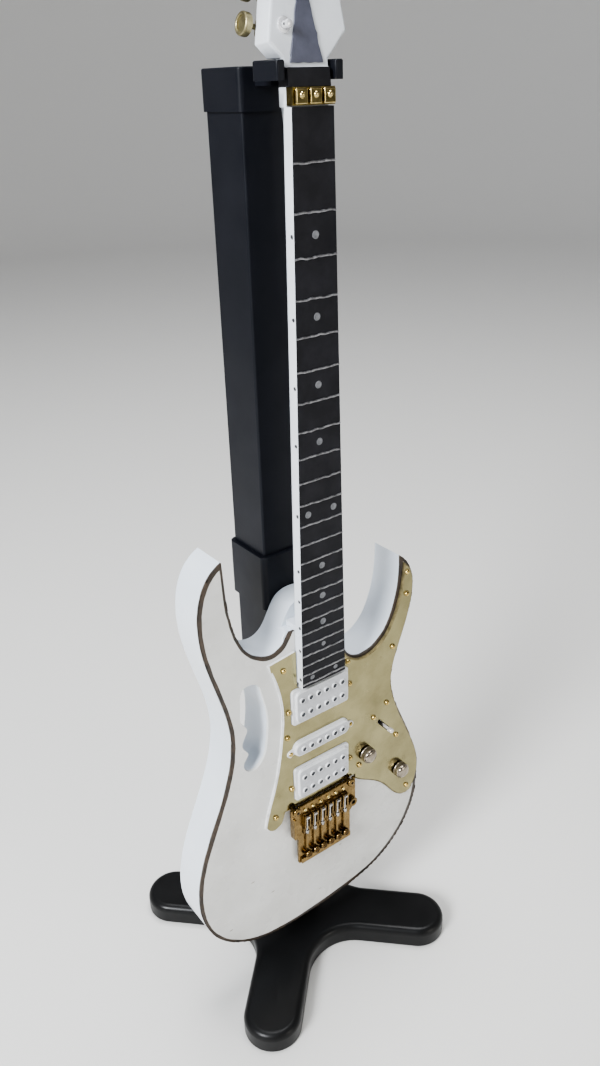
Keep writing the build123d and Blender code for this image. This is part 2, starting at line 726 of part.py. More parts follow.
def make_switch():
    lean = math.radians(switch_lean)
    x, w = switch_xy
    pivot_y = face_y + 2.2
    along = (math.cos(lean), 0, math.sin(lean))
    frame_plane = Plane(origin=(x, face_y, bridge_z + w), x_dir=along, z_dir=(0, -1, 0))
    frame = extrude(frame_plane * Rectangle(slot_l - 1.0, switch_frame_w), -3.2)
    frame -= extrude(frame_plane * Rectangle(slot_l - 3.0, 1.6), -2.9)
    across = Vector(*along).cross(Vector(0, -1, 0))
    pin_plane = Plane(origin=(x, pivot_y, bridge_z + w), z_dir=across)
    pin = extrude(pin_plane * Circle(0.4), 1.6, both=True)
    frame -= pin
    keep("switch_frame", frame)
    keep("switch_pin", pin)
    lever_plane = Plane(origin=(x, pivot_y, bridge_z + w), x_dir=along, z_dir=(0, -1, 0))
    reach = pivot_y - guard_y + lever_len
    blade = extrude(lever_plane.offset(-0.55) * Rectangle(1.2, lever_w), reach - 0.6 + 0.55)
    tip_knob = extrude(lever_plane.offset(reach - 1.9) * Circle(0.85), 1.9)
    tip_knob = fillet(tip_knob.faces().sort_by(Axis.Y)[0].edges(), 0.6)
    lever = blade + tip_knob
    lever -= extrude(pin_plane * Circle(0.45), 3, both=True)
    keep("switch_lever", lever)


# =====================================================================
# Tremolo
# =====================================================================
def make_tremolo():
    outline = make_face(Polyline(
        (-trem_half_w, trem_top_w), (trem_half_w, trem_top_w), (trem_half_w, trem_step_w + 1.6),
        (trem_tail_half_w, trem_step_w - 0.8), (trem_tail_half_w, trem_tail_w),
        (-trem_tail_half_w, trem_tail_w), (-trem_tail_half_w, trem_step_w - 0.8),
        (-trem_half_w, trem_step_w + 1.6), close=True))
    plate = slab(outline, plate_y - trem_th, trem_th)
    wall_low = trem_step_w + 1.6
    wall_top = stud_w - stud_d / 2 - 0.4
    wall = slab(Pos(-trem_half_w + 0.5, (wall_low + wall_top) / 2)
                * Rectangle(1.0, wall_top - wall_low), plate_y - trem_th - trem_wall_h, trem_wall_h)
    plate += wall
    for s in (-1, 1):
        plate -= rod(s * stud_x, stud_w, plate_y - 5, stud_post_d + 0.5, 8)
        plate -= slab(Pos(s * stud_x, stud_w + 2) * Rectangle(stud_post_d + 0.5, 4), plate_y - 5, 8)
    top_y = plate_y - trem_th
    collar = rod(trem_half_w - 1.9, trem_step_w + 3.6, top_y - 1.4, 3.4, 1.4) \
        - rod(trem_half_w - 1.9, trem_step_w + 3.6, top_y - 1.4, 1.5, 1.4)
    keep("trem_plate", plate)
    keep("trem_arm_collar", collar)
    block = slab(Pos(0, trem_top_w - 1.6 - block_play - 0.8 - block_t / 2) * Rectangle(block_w, block_t), plate_y,
                 trem_lift + block_depth)
    keep("trem_block", block)

    saddles = []
    screws = []
    tuners = []
    rail_w = trem_tail_w + 2.4
    for i in range(6):
        x = (i - 2.5) * string_pitch
        # wedge-shaped saddle, highest where the string would break over it
        plane = Plane(origin=(x - saddle_w / 2, 0, bridge_z), x_dir=(0, 1, 0), z_dir=(1, 0, 0))
        shape = make_face(Polyline(
            (top_y, 1.2), (top_y - saddle_h * 0.55, 1.2), (top_y - saddle_h, -1.4),
            (top_y - saddle_h * 0.8, -5.0), (top_y - saddle_h * 0.5, 1.2 - saddle_l),
            (top_y, 1.2 - saddle_l), close=True))
        body = extrude(plane * shape, saddle_w)
        saddles.append(body)
        screw = rod(x, 2.6, top_y - 0.8, 1.5, 0.8)
        screws.append(fillet(screw.faces().sort_by(Axis.Y)[0].edges(), 0.35))
        knob = rod(x, rail_w + 1.4, top_y - tuner_screw_l, tuner_screw_d, tuner_screw_l)
        knob = fillet(knob.faces().sort_by(Axis.Y)[0].edges(), 0.5)
        tuners.append(knob)
    rail = slab(Pos(0, rail_w - 1.2) * Rectangle(2 * trem_tail_half_w - 1.0, 2.0), top_y - 0.9, 0.9)
    keep("trem_rail", rail)
    keep("trem_saddles", group(saddles))
    keep("trem_saddle_screws", group(screws))
    keep("fine_tuners", group(tuners))

    studs = []
    for s in (-1, 1):
        stud = rod(s * stud_x, stud_w, top_y - 0.2, stud_post_d, 6.0 - 1 + (face_y - top_y) + 0.2)
        head_disc = rod(s * stud_x, stud_w, top_y - 0.2 - 0.8, stud_d, 0.8)
        head_disc = fillet(head_disc.faces().sort_by(Axis.Y)[0].edges(), 0.3)
        head_disc -= rod(s * stud_x, stud_w, top_y - 1.0, 1.0, 0.5)
        studs.append(stud + head_disc)
    keep("trem_studs", group(studs))


make_stand()
make_body()
make_neck()
make_head()
make_guard()
make_pickups()
make_switch()
make_tremolo()

os.makedirs("parts", exist_ok=True)
for node_name, node_shape in parts.items():
    export_step(node_shape, f"parts/{node_name}.step")
    box = node_shape.bounding_box()
    print(f"{node_name:22s} solids {len(node_shape.solids()):3d}  volume {node_shape.volume:10.2f}  "
          f"X {box.min.X:7.2f} {box.max.X:7.2f}  Y {box.min.Y:7.2f} {box.max.Y:7.2f}  "
          f"Z {box.min.Z:7.2f} {box.max.Z:7.2f}")
print("nodes", len(parts))
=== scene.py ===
import json
from math import atan2, cos, pi, radians, sin

import bmesh
import bpy
from mathutils import Matrix, Vector, noise


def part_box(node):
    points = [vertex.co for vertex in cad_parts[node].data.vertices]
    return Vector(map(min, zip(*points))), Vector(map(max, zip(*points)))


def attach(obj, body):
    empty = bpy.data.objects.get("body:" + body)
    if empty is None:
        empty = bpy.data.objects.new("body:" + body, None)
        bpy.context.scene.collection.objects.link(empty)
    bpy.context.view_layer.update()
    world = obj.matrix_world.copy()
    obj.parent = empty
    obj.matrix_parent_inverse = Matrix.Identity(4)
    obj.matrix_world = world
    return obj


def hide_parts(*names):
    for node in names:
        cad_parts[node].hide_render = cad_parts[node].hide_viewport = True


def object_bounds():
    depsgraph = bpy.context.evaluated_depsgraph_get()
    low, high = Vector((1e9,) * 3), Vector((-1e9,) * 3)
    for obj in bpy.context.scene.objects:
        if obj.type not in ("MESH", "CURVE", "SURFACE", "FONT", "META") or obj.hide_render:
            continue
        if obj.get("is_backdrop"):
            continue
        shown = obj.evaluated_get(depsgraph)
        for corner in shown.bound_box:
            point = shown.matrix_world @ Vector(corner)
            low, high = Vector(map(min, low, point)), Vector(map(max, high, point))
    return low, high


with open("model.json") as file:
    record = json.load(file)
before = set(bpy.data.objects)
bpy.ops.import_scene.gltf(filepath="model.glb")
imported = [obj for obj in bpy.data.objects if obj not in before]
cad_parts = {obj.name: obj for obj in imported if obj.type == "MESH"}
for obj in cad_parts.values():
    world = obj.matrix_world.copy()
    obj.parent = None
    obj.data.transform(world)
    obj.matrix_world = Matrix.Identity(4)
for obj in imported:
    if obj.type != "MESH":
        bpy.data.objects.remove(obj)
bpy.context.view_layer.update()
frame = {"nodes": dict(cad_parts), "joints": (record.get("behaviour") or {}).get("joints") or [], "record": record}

scene = bpy.context.scene
mm = 0.001

# ---------------------------------------------------------------- studio
# A pale, seamless bowl of painted board, soft light from the upper left and a
# weak warm fill from the right, so that the black stand keeps its edges.
touching = 1e-5     # points closer than this, in metres, count as touching
quarter_arc = [a * pi / 16 for a in range(9)]     # nine angles, from none to a quarter turn
floor_radius = 1.7
wall_radius = 2.3
wall_height = 1.4
floor_mat = bpy.data.materials.new("studio_floor")
floor_mat.use_nodes = True
floor_bsdf = floor_mat.node_tree.nodes["Principled BSDF"]
floor_bsdf.inputs["Base Color"].default_value = (0.80, 0.79, 0.765, 1)
floor_bsdf.inputs["Roughness"].default_value = 0.6
sweep = bmesh.new()
curve_r = wall_radius - floor_radius
bowl = [(0.0, 0.0), (0.5, 0.0), (floor_radius, 0.0)]
bowl += [(floor_radius + curve_r * sin(a), curve_r * (1 - cos(a))) for a in quarter_arc[1:]]
bowl += [(wall_radius, wall_height)]
points = [sweep.verts.new((r, 0, z)) for r, z in bowl]
rib = [sweep.edges.new(pair) for pair in zip(points, points[1:])]
bmesh.ops.spin(sweep, geom=points + rib, cent=(0, 0, 0), axis=(0, 0, 1), angle=2 * pi,
               steps=64, use_merge=True)
bmesh.ops.remove_doubles(sweep, verts=sweep.verts, dist=touching)
for f in sweep.faces:
    inward = Vector((0, 0, 0.5)) - f.calc_center_median()
    if f.normal.dot(inward) < 0:
        f.normal_flip()
floor_mesh = bpy.data.meshes.new("studio_floor")
sweep.to_mesh(floor_mesh)
sweep.free()
floor_mesh.polygons.foreach_set("use_smooth", [True] * len(floor_mesh.polygons))
floor_mesh.materials.append(floor_mat)
floor = bpy.data.objects.new("studio_floor", floor_mesh)
scene.collection.objects.link(floor)
floor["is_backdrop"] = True

world = bpy.data.worlds.new("studio_air")
scene.world = world
world.use_nodes = True
air = world.node_tree
heading = air.nodes.new("ShaderNodeTexCoord")
split = air.nodes.new("ShaderNodeSeparateXYZ")
air.links.new(heading.outputs["Generated"], split.inputs["Vector"])
dusk = air.nodes.new("ShaderNodeValToRGB")
dusk.color_ramp.elements[0].position = 0.10
dusk.color_ramp.elements[0].color = (0.86, 0.90, 0.98, 1)
dusk.color_ramp.elements[1].position = 0.95
dusk.color_ramp.elements[1].color = (0.20, 0.17, 0.15, 1)
left_to_right = air.nodes.new("ShaderNodeMapRange")
left_to_right.inputs["From Min"].default_value = -1.0
air.links.new(split.outputs["X"], left_to_right.inputs["Value"])
air.links.new(left_to_right.outputs["Result"], dusk.inputs["Fac"])
air.links.new(dusk.outputs["Color"], air.nodes["Background"].inputs["Color"])
air.nodes["Background"].inputs["Strength"].default_value = 0.42


def soft_lamp(name, place, aim, size, power, colour):
    """A round soft lamp at place, turned to aim; size in metres, power in watts."""
    lamp = bpy.data.lights.new(name, "AREA")
    lamp.shape = "DISK"
    lamp.size = size
    lamp.energy = power
    lamp.color = colour
    holder = bpy.data.objects.new(name, lamp)
    holder.location = place
    holder.rotation_mode = "QUATERNION"
    holder.rotation_quaternion = (Vector(aim) - Vector(place)).to_track_quat("-Z", "Y")
    scene.collection.objects.link(holder)


soft_lamp("key_left", (-0.80, -0.25, 0.62), (0, 0, 0.15), 0.34, 12.5, (0.95, 0.975, 1.0))
soft_lamp("top_soft", (0.1, 0.1, 1.1), (0, 0, 0.1), 0.6, 9.0, (0.97, 0.985, 1.0))
soft_lamp("front_soft", (0.30, -0.95, 0.35), (0, 0, 0.12), 0.30, 1.6, (1.0, 0.96, 0.88))
scene.view_settings.look = "AgX - Medium High Contrast"

eye = bpy.data.cameras.new("eye")
eye.sensor_width = 36.0
eye.lens = 30.657
eye.clip_start = 0.01
eye.clip_end = 20.0
eye_holder = bpy.data.objects.new("eye", eye)
across = Vector((0.79874, -0.60102, -0.02797))
upward = Vector((0.28644, 0.33897, 0.89613))
behind = Vector((-0.52911, -0.72379, 0.44291))
turn = Matrix((across, upward, behind)).transposed().to_4x4()
eye_place = Vector((-0.14413, -0.20933, 0.29221))
eye_holder.matrix_world = Matrix.Translation(eye_place) @ turn
scene.collection.objects.link(eye_holder)
scene.camera = eye_holder


# ---------------------------------------------------------------- stand base
# The cross base is one moulding in gloss black plastic, with four round-ended
# legs that run into each other in wide hollow curves. The lower post drops in
# a square socket in its middle.
def merged(node):
    """A copy of a CAD node's shape, with its triangles joined into whole flat faces."""
    work = bmesh.new()
    work.from_mesh(frame["nodes"][node].data)
    bmesh.ops.remove_doubles(work, verts=work.verts, dist=2e-6)
    bmesh.ops.dissolve_limit(work, angle_limit=radians(0.05), verts=work.verts, edges=work.edges)
    return work


def round_off(work, edges, width, segments=2, clamp=True):
    """Rounds chosen edges, or cuts them off at a slant with one segment."""
    return bmesh.ops.bevel(work, geom=edges, offset=width, offset_type="OFFSET", segments=segments,
                           profile=0.5, affect="EDGES", clamp_overlap=clamp, material=-1)["faces"]


def soften(work, width, segments=2, angle=35, where=None, clamp=True):
    """Rounds edges sharper than angle, as sanding and paint do; where picks them by place."""
    hard = [e for e in work.edges
            if len(e.link_faces) == 2 and e.calc_face_angle(0) > radians(angle)]
    if where:
        hard = [e for e in hard if where((e.verts[0].co + e.verts[1].co) / 2)]
    round_off(work, hard, width, segments, clamp)


def owner(node):
    """The moving body that a CAD node belongs to."""
    bodies = frame["record"]["behaviour"]["bodies"]
    return next(body for body, nodes in bodies.items() if node in nodes)


def settle(work, name, stands_for, finishes, smooth=32):
    """Makes the piece, hides what it stands for and fixes it to the same body."""
    mesh = bpy.data.meshes.new(name)
    work.to_mesh(mesh)
    work.free()
    mesh.polygons.foreach_set("use_smooth", [True] * len(mesh.polygons))
    mesh.set_sharp_from_angle(angle=radians(smooth))
    for m in finishes:
        mesh.materials.append(m)
    piece = bpy.data.objects.new(name, mesh)
    scene.collection.objects.link(piece)
    even = piece.modifiers.new("even_shading", "WEIGHTED_NORMAL")
    even.weight = 100
    even.keep_sharp = True
    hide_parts(*stands_for)
    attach(piece, owner(stands_for[0]))


def finish(name, colour, other, patch, rough, spread, grain, depth,
           metal=0.0, coat=0.0, mix=0.5, shine=0.5):
    """A finish that drifts between two colours, with uneven gloss and a fine grain.

    patch and grain are how many features there are to a metre. depth is the grain's
    height in metres. mix is how softly the two colours run into each other."""
    mat = bpy.data.materials.new(name)
    mat.use_nodes = True
    tree = mat.node_tree
    make, join = tree.nodes.new, tree.links.new
    shader = tree.nodes["Principled BSDF"]
    shader.inputs["Metallic"].default_value = metal
    shader.inputs["Coat Weight"].default_value = coat
    shader.inputs["Specular IOR Level"].default_value = shine
    shader.inputs["Coat Roughness"].default_value = 0.08
    place = make("ShaderNodeTexCoord")
    drift = make("ShaderNodeTexNoise")
    drift.inputs["Scale"].default_value = patch
    drift.inputs["Detail"].default_value = 5.0
    drift.inputs["Roughness"].default_value = 0.62
    join(place.outputs["Object"], drift.inputs["Vector"])
    ramp = make("ShaderNodeValToRGB")
    ramp.name = "colours"
    ramp.color_ramp.elements[0].position = 0.5 - mix * 0.3
    ramp.color_ramp.elements[0].color = (*other, 1)
    ramp.color_ramp.elements[1].position = 0.5 + mix * 0.2
    ramp.color_ramp.elements[1].color = (*colour, 1)
    join(drift.outputs["Fac"], ramp.inputs["Fac"])
    join(ramp.outputs["Color"], shader.inputs["Base Color"])
    gloss = make("ShaderNodeTexNoise")
    gloss.inputs["Scale"].default_value = patch * 2.7
    gloss.inputs["Detail"].default_value = 6.0
    join(place.outputs["Object"], gloss.inputs["Vector"])
    span = make("ShaderNodeMapRange")
    span.inputs["To Min"].default_value = max(rough - spread, 0.02)
    span.inputs["To Max"].default_value = rough + spread
    span.inputs["From Min"].default_value = 0.3
    span.inputs["From Max"].default_value = 0.7
    join(gloss.outputs["Fac"], span.inputs["Value"])
    join(span.outputs["Result"], shader.inputs["Roughness"])
    fine = make("ShaderNodeTexNoise")
    fine.inputs["Scale"].default_value = grain
    fine.inputs["Detail"].default_value = 3.0
    join(place.outputs["Object"], fine.inputs["Vector"])
    bump = make("ShaderNodeBump")
    bump.inputs["Strength"].default_value = 0.6
    bump.inputs["Distance"].default_value = depth
    join(fine.outputs["Fac"], bump.inputs["Height"])
    join(bump.outputs["Normal"], shader.inputs["Normal"])
    return mat


gloss_black = finish("gloss_black", (0.0085, 0.0085, 0.0088), (0.011, 0.011, 0.0115),
                     patch=40, rough=0.34, spread=0.06, grain=900, depth=0.008 * mm, shine=0.26)
base_shape = merged("stand_base")
settle(base_shape, "cross_base", ["stand_base"], [gloss_black], smooth=40)

# ---------------------------------------------------------------- posts
# Two lengths of square plastic tube, satin black, pushed end to end inside a
# square collar that hides the joint.
satin_black = finish("satin_black", (0.008, 0.009, 0.013), (0.012, 0.013, 0.018),
                     patch=35, rough=0.36, spread=0.06, grain=2600, depth=0.015 * mm, shine=0.2)
for node, name in (("post_lower", "post_bottom_length"), ("post_upper", "post_top_length"),
                   ("post_sleeve", "post_collar")):
    tube = merged(node)
    settle(tube, name, [node], [satin_black], smooth=40)

# ---------------------------------------------------------------- cap and yoke
# The cap closes the post's top. The U-shaped yoke stands out from its front
# on a short stem and holds the neck where the head widens.
cap_shape = merged("post_cap")
settle(cap_shape, "post_top_cap", ["post_cap"], [satin_black], smooth=40)
yoke_shape = merged("neck_yoke")
soften(yoke_shape, 0.2 * mm, angle=40)
settle(yoke_shape, "neck_holder", ["neck_yoke"], [satin_black], smooth=40)


# ---------------------------------------------------------------- body
# A thick slab of wood in white lacquer, with two horns, a hand-hold and a neck
# pocket. A thin face plate is glued to its front. Its slanted edge is painted
# brown by hand all round, so the line wavers a little.
def front_rims(work):
    """The closed runs of edges where the front face meets a wall, longest first."""
    front, wall = -0.95, 0.5
    left = set()
    for e in work.edges:
        if len(e.link_faces) == 2:
            lean = sorted(f.normal.y for f in e.link_faces)
            if lean[0] < front and abs(lean[1]) < wall:
                left.add(e)
    runs = []
    while left:
        reach = [left.pop()]
        run = list(reach)
        while reach:
            e = reach.pop()
            for v in e.verts:
                for other in v.link_edges:
                    if other in left:
                        left.remove(other)
                        reach.append(other)
                        run.append(other)
        runs.append(run)
    return sorted(runs, key=lambda run: -sum(e.calc_length() for e in run))


def corners(faces):
    """The corner points of some faces, each once and always in the same order."""
    return list(dict.fromkeys(v for f in faces for v in f.verts))


def waver(place, turns_per_metre, height):
    """A smooth, uneven drift from place to place, as far as height either way."""
    return noise.noise(place * turns_per_metre) * height


def hand_drift(place, turns_per_metre, height, apart=(1, 1, 1)):
    """A small step across the face, as a line painted or cut by hand has."""
    return Vector((waver(place, turns_per_metre, height), 0,
                   waver(place + Vector(apart), turns_per_metre, height)))


def waver_glue_line(work):
    """Makes the glue line between slab and face plate uneven, and the same on both."""
    for v in work.verts:
        if abs(v.co.y - plate_back) < touching:
            v.co.y += waver(v.co, 300, 0.25 * mm)


def far_back(p):
    """True well behind the face plate."""
    return p.y > -8 * mm


face_lo, face_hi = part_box("body_top")
plate_back = face_hi.y
# The hand-hold lies between these two corners.
grip_lo = Vector((-31 * mm, 0, 96 * mm))
grip_hi = Vector((-18 * mm, 0, 134 * mm))
white_lacquer = finish("white_lacquer", (0.78, 0.83, 0.89), (0.70, 0.76, 0.83),
                       patch=22, rough=0.22, spread=0.05, grain=420, depth=0.06 * mm, coat=0.35)
face_lacquer = finish("face_lacquer", (0.77, 0.77, 0.75), (0.66, 0.655, 0.63),
                      patch=30, rough=0.28, spread=0.07, grain=380, depth=0.08 * mm, coat=0.25)
brown_edge = finish("brown_edge", (0.065, 0.046, 0.032), (0.028, 0.022, 0.018),
                    patch=300, rough=0.5, spread=0.1, grain=1500, depth=0.08 * mm)

# Faint grey specks, drawn out sideways and spread thinly over the face.
speck_size = 0.075
speck_rarity = 0.74
tree = face_lacquer.node_tree
make, join = tree.nodes.new, tree.links.new
place = make("ShaderNodeTexCoord")
dust = make("ShaderNodeTexVoronoi")
dust.inputs["Scale"].default_value = 230
stretch = make("ShaderNodeMapping")
stretch.inputs["Scale"].default_value = (0.45, 1.0, 1.5)
join(place.outputs["Object"], stretch.inputs["Vector"])
join(stretch.outputs["Vector"], dust.inputs["Vector"])
speck = make("ShaderNodeMath")
speck.operation = "LESS_THAN"
speck.inputs[1].default_value = speck_size
join(dust.outputs["Distance"], speck.inputs[0])
rare = make("ShaderNodeSeparateColor")
join(dust.outputs["Color"], rare.inputs["Color"])
few = make("ShaderNodeMath")
few.operation = "GREATER_THAN"
few.inputs[1].default_value = speck_rarity
join(rare.outputs["Red"], few.inputs[0])
dark = make("ShaderNodeMath")
dark.operation = "MULTIPLY"
join(speck.outputs["Value"], dark.inputs[0])
join(few.outputs["Value"], dark.inputs[1])
stain = make("ShaderNodeMix")
stain.data_type = "RGBA"
stain.inputs["B"].default_value = (0.30, 0.27, 0.23, 1)
join(tree.nodes["colours"].outputs["Color"], stain.inputs["A"])
join(dark.outputs["Value"], stain.inputs["Factor"])
join(stain.outputs["Result"], tree.nodes["Principled BSDF"].inputs["Base Color"])

core = merged("body_core")
soften(core, 0.8 * mm, 3, 50, far_back)
waver_glue_line(core)
settle(core, "body_slab", ["body_core"], [white_lacquer], smooth=35)

plate = merged("body_top")
rim_width = 1.05 * mm
rim_join = 0.42 * mm
slant_depth = 0.42 * mm
widest_extra = 1.0 * mm
grip_round = 0.3 * mm
# Beside the neck pocket the edge stays sharp.
pocket_side = 10.0 * mm
pocket_low = 110 * mm
for f in plate.faces:
    f.material_index = 0 if f.normal.y < -0.9 else 1
rims = front_rims(plate)
grip_rim = next(run for run in rims
                if all(grip_lo.x < e.verts[0].co.x < grip_hi.x for e in run))
outline = [e for e in rims[0] if min(abs(v.co.x) for v in e.verts) > pocket_side
           or max(v.co.z for v in e.verts) < pocket_low]
slant = round_off(plate, outline, rim_width, 1, clamp=False)
for f in slant:
    f.material_index = 1
# The brown edge is widest on the lower treble side.
lower_middle = Vector((0, face_lo.y, 70 * mm))
lower_treble = Vector((0.6, 0, -0.8))
for v in corners(slant):
    if v.co.y < face_lo.y + touching:
        out = (v.co - lower_middle).normalized()
        v.co -= out * max(out.dot(lower_treble), 0) * widest_extra
        v.co += hand_drift(v.co, 350, 0.20 * mm)
    else:
        v.co.y = face_lo.y + slant_depth
inner = [v for v in corners(slant) if v.co.y < face_lo.y + touching]
bmesh.ops.remove_doubles(plate, verts=inner, dist=rim_join)
for f in round_off(plate, [e for e in grip_rim if e.is_valid], grip_round):
    f.material_index = 0
for f in plate.faces:
    mid = f.calc_center_median()
    if grip_lo.x < mid.x < grip_hi.x and grip_lo.z < mid.z < grip_hi.z:
        f.material_index = 0
for v in plate.verts:
    v.co.x = min(max(v.co.x, face_lo.x), face_hi.x)
    v.co.z = min(max(v.co.z, face_lo.z), face_hi.z)
waver_glue_line(plate)
settle(plate, "body_face_plate", ["body_top"], [face_lacquer, brown_edge], smooth=30)

# ---------------------------------------------------------------- neck
# Neck, heel and head are one piece of wood in white lacquer. The heel sits in
# the body's pocket and four bolts come through from the back.
board_lo, board_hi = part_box("fretboard")
nut_z = board_hi.z
board_y = board_lo.y
scale = 216 * mm     # string length, from the nut to the saddles
saddle_z = nut_z - scale
head_tilt = radians(5)
head_out = Vector((0, -cos(head_tilt), sin(head_tilt)))
head_up = Vector((0, sin(head_tilt), cos(head_tilt)))
head_origin = Vector((0, board_y + 1.5 * mm, nut_z))
joints = {j["name"]: j for j in frame["joints"]}
post_places = [Vector(joints[f"post_turn_{i}"]["pos_m"]) for i in range(1, 7)]


def clear_of_posts(p):
    """True on the broad part of the head, away from the tuner holes."""
    head_foot = nut_z + 9 * mm
    hole_clear = 1.5 * mm
    if p.z < head_foot:
        return False
    return all((p - q - head_out * (p - q).dot(head_out)).length > hole_clear
               for q in post_places)


neck_lacquer = finish("neck_lacquer", (0.78, 0.81, 0.85), (0.70, 0.73, 0.78),
                      patch=40, rough=0.24, spread=0.05, grain=500, depth=0.04 * mm, coat=0.3)
neck_shape = merged("neck")

# The round neck swells into the squarer foot of the head over its last stretch.
foot_half = 6.3 * mm
foot_back = max(v.co.y for v in neck_shape.verts if abs(v.co.z - nut_z) < touching)
foot_round = 1.4 * mm
swell_start = nut_z - 12.5 * mm
swell_slope = 12
swell_most = 8 * mm
board_sides = board_y + 2.6 * mm
for v in neck_shape.verts:
    if not swell_start < v.co.z < nut_z + touching:
        continue
    side, back = abs(v.co.x), v.co.y
    over_x = max(side - foot_half + foot_round, 0)
    over_y = max(back - foot_back + foot_round, 0)
    gap_x = foot_half - foot_round + max(foot_round ** 2 - over_y ** 2, 0) ** 0.5 - side
    gap_y = foot_back - foot_round + max(foot_round ** 2 - over_x ** 2, 0) ** 0.5 - back
    gap = max(min(gap_x, gap_y), 0)
    if gap > touching and back > board_sides:
        share = min(swell_slope * gap, swell_most)
        v.co.z -= share * (v.co.z - swell_start) / (nut_z - swell_start)
soften(neck_shape, 0.35 * mm, 3, 25, clear_of_posts, clamp=False)
shelf_low, shelf_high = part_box("head_shelf")[0].z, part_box("head_shelf")[1].z
for height in (shelf_low, shelf_high):
    everything = neck_shape.verts[:] + neck_shape.edges[:] + neck_shape.faces[:]
    bmesh.ops.bisect_plane(neck_shape, geom=everything, dist=1e-7,
                           plane_co=(0, 0, height), plane_no=(0, 0, 1))
for f in neck_shape.faces:
    if shelf_low < f.calc_center_median().z < shelf_high:
        f.material_index = 1
shelf_black = finish("shelf_black", (0.010, 0.010, 0.013), (0.016, 0.016, 0.02),
                     patch=200, rough=0.34, spread=0.06, grain=2200, depth=0.02 * mm, shine=0.3)
settle(neck_shape, "neck_and_head", ["neck"], [neck_lacquer, shelf_black], smooth=35)

steel = finish("plain_steel", (0.55, 0.55, 0.57), (0.42, 0.42, 0.44),
               patch=400, rough=0.32, spread=0.08, grain=5000, depth=0.01 * mm, metal=1.0)
bolts = merged("neck_bolts")
soften(bolts, 0.12 * mm, 2, 50, far_back)
settle(bolts, "neck_joint_bolts", ["neck_bolts"], [steel])


# ---------------------------------------------------------------- fretboard
# A black board glued on to the neck, whose sides are lacquered white with it.
# The fret wires are pressed in by hand and waver slightly.
def board_width(drop):
    """The board's width at a distance under the nut; fret 24 is at 0.75 of the scale."""
    return nut_width + (fret_24_width - nut_width) * drop / (scale * 0.75)


board_black = finish("board_black", (0.010, 0.010, 0.013), (0.018, 0.018, 0.023),
                     patch=120, rough=0.42, spread=0.08, grain=1800, depth=0.03 * mm, shine=0.22)
board = merged("fretboard")
for f in board.faces:
    f.material_index = 1 if abs(f.normal.x) > 0.9 else 0
settle(board, "finger_board", ["fretboard"], [board_black, neck_lacquer])

fret_silver = finish("fret_silver", (0.40, 0.40, 0.42), (0.17, 0.17, 0.18),
                     patch=900, rough=0.36, spread=0.1, grain=2400, depth=0.06 * mm, metal=0.9)
nut_width = 12.6 * mm
fret_24_width = 16.9 * mm
fret_radius = 0.31 * mm
fret_short = 0.2 * mm
fret_flat = 0.95
wires = bmesh.new()
for n in range(1, 25):
    drop = scale * (1 - 2 ** (-n / 12))
    length = board_width(drop) - fret_short
    rod = bmesh.new()
    bmesh.ops.create_cone(rod, cap_ends=True, segments=10, radius1=fret_radius,
                          radius2=fret_radius, depth=length)
    along = [e for e in rod.edges if e.calc_length() > length / 2]
    bmesh.ops.subdivide_edges(rod, edges=along, cuts=22, use_grid_fill=True)
    for v in rod.verts:
        s, a, b = v.co.z, v.co.x, v.co.y
        here = Vector((s, n * 0.37, 0))     # each wire wavers in its own way
        swell = 1 + waver(here, 900, 0.30)
        shift = waver(here + Vector((0, 0, 3)), 520, 0.28 * mm)
        v.co = Vector((s, board_y + a * fret_flat, nut_z - drop + b * swell + shift))
    bmesh.ops.recalc_face_normals(rod, faces=rod.faces)
    spare = bpy.data.meshes.new("spare")
    rod.to_mesh(spare)
    rod.free()
    wires.from_mesh(spare)
    bpy.data.meshes.remove(spare)
settle(wires, "fret_wires", ["frets"], [fret_silver], smooth=50)


# ---------------------------------------------------------------- dots
# Grey plastic discs with a raised rim are let into the board, one to a place
# and two at the octaves. The dark marks on its bass side are painted by hand.
def turned(work, profile, foot, axis, steps=32):
    """Adds a turned shape and returns its faces.

    profile is (radius, height) pairs, with the height measured from foot along axis."""
    axis = Vector(axis).normalized()
    side = axis.orthogonal().normalized()
    foot = Vector(foot)
    old = set(work.faces)
    points = [work.verts.new(foot + side * r + axis * h) for r, h in profile]
    line = [work.edges.new(pair) for pair in zip(points, points[1:])]
    bmesh.ops.spin(work, geom=points + line, cent=foot, axis=axis, angle=2 * pi,
                   steps=steps, use_merge=True)
    fresh = [f for f in work.faces if f not in old]
    bmesh.ops.remove_doubles(work, verts=corners(fresh), dist=1e-6)
    fresh = [f for f in work.faces if f not in old]
    bmesh.ops.recalc_face_normals(work, faces=fresh)
    return fresh


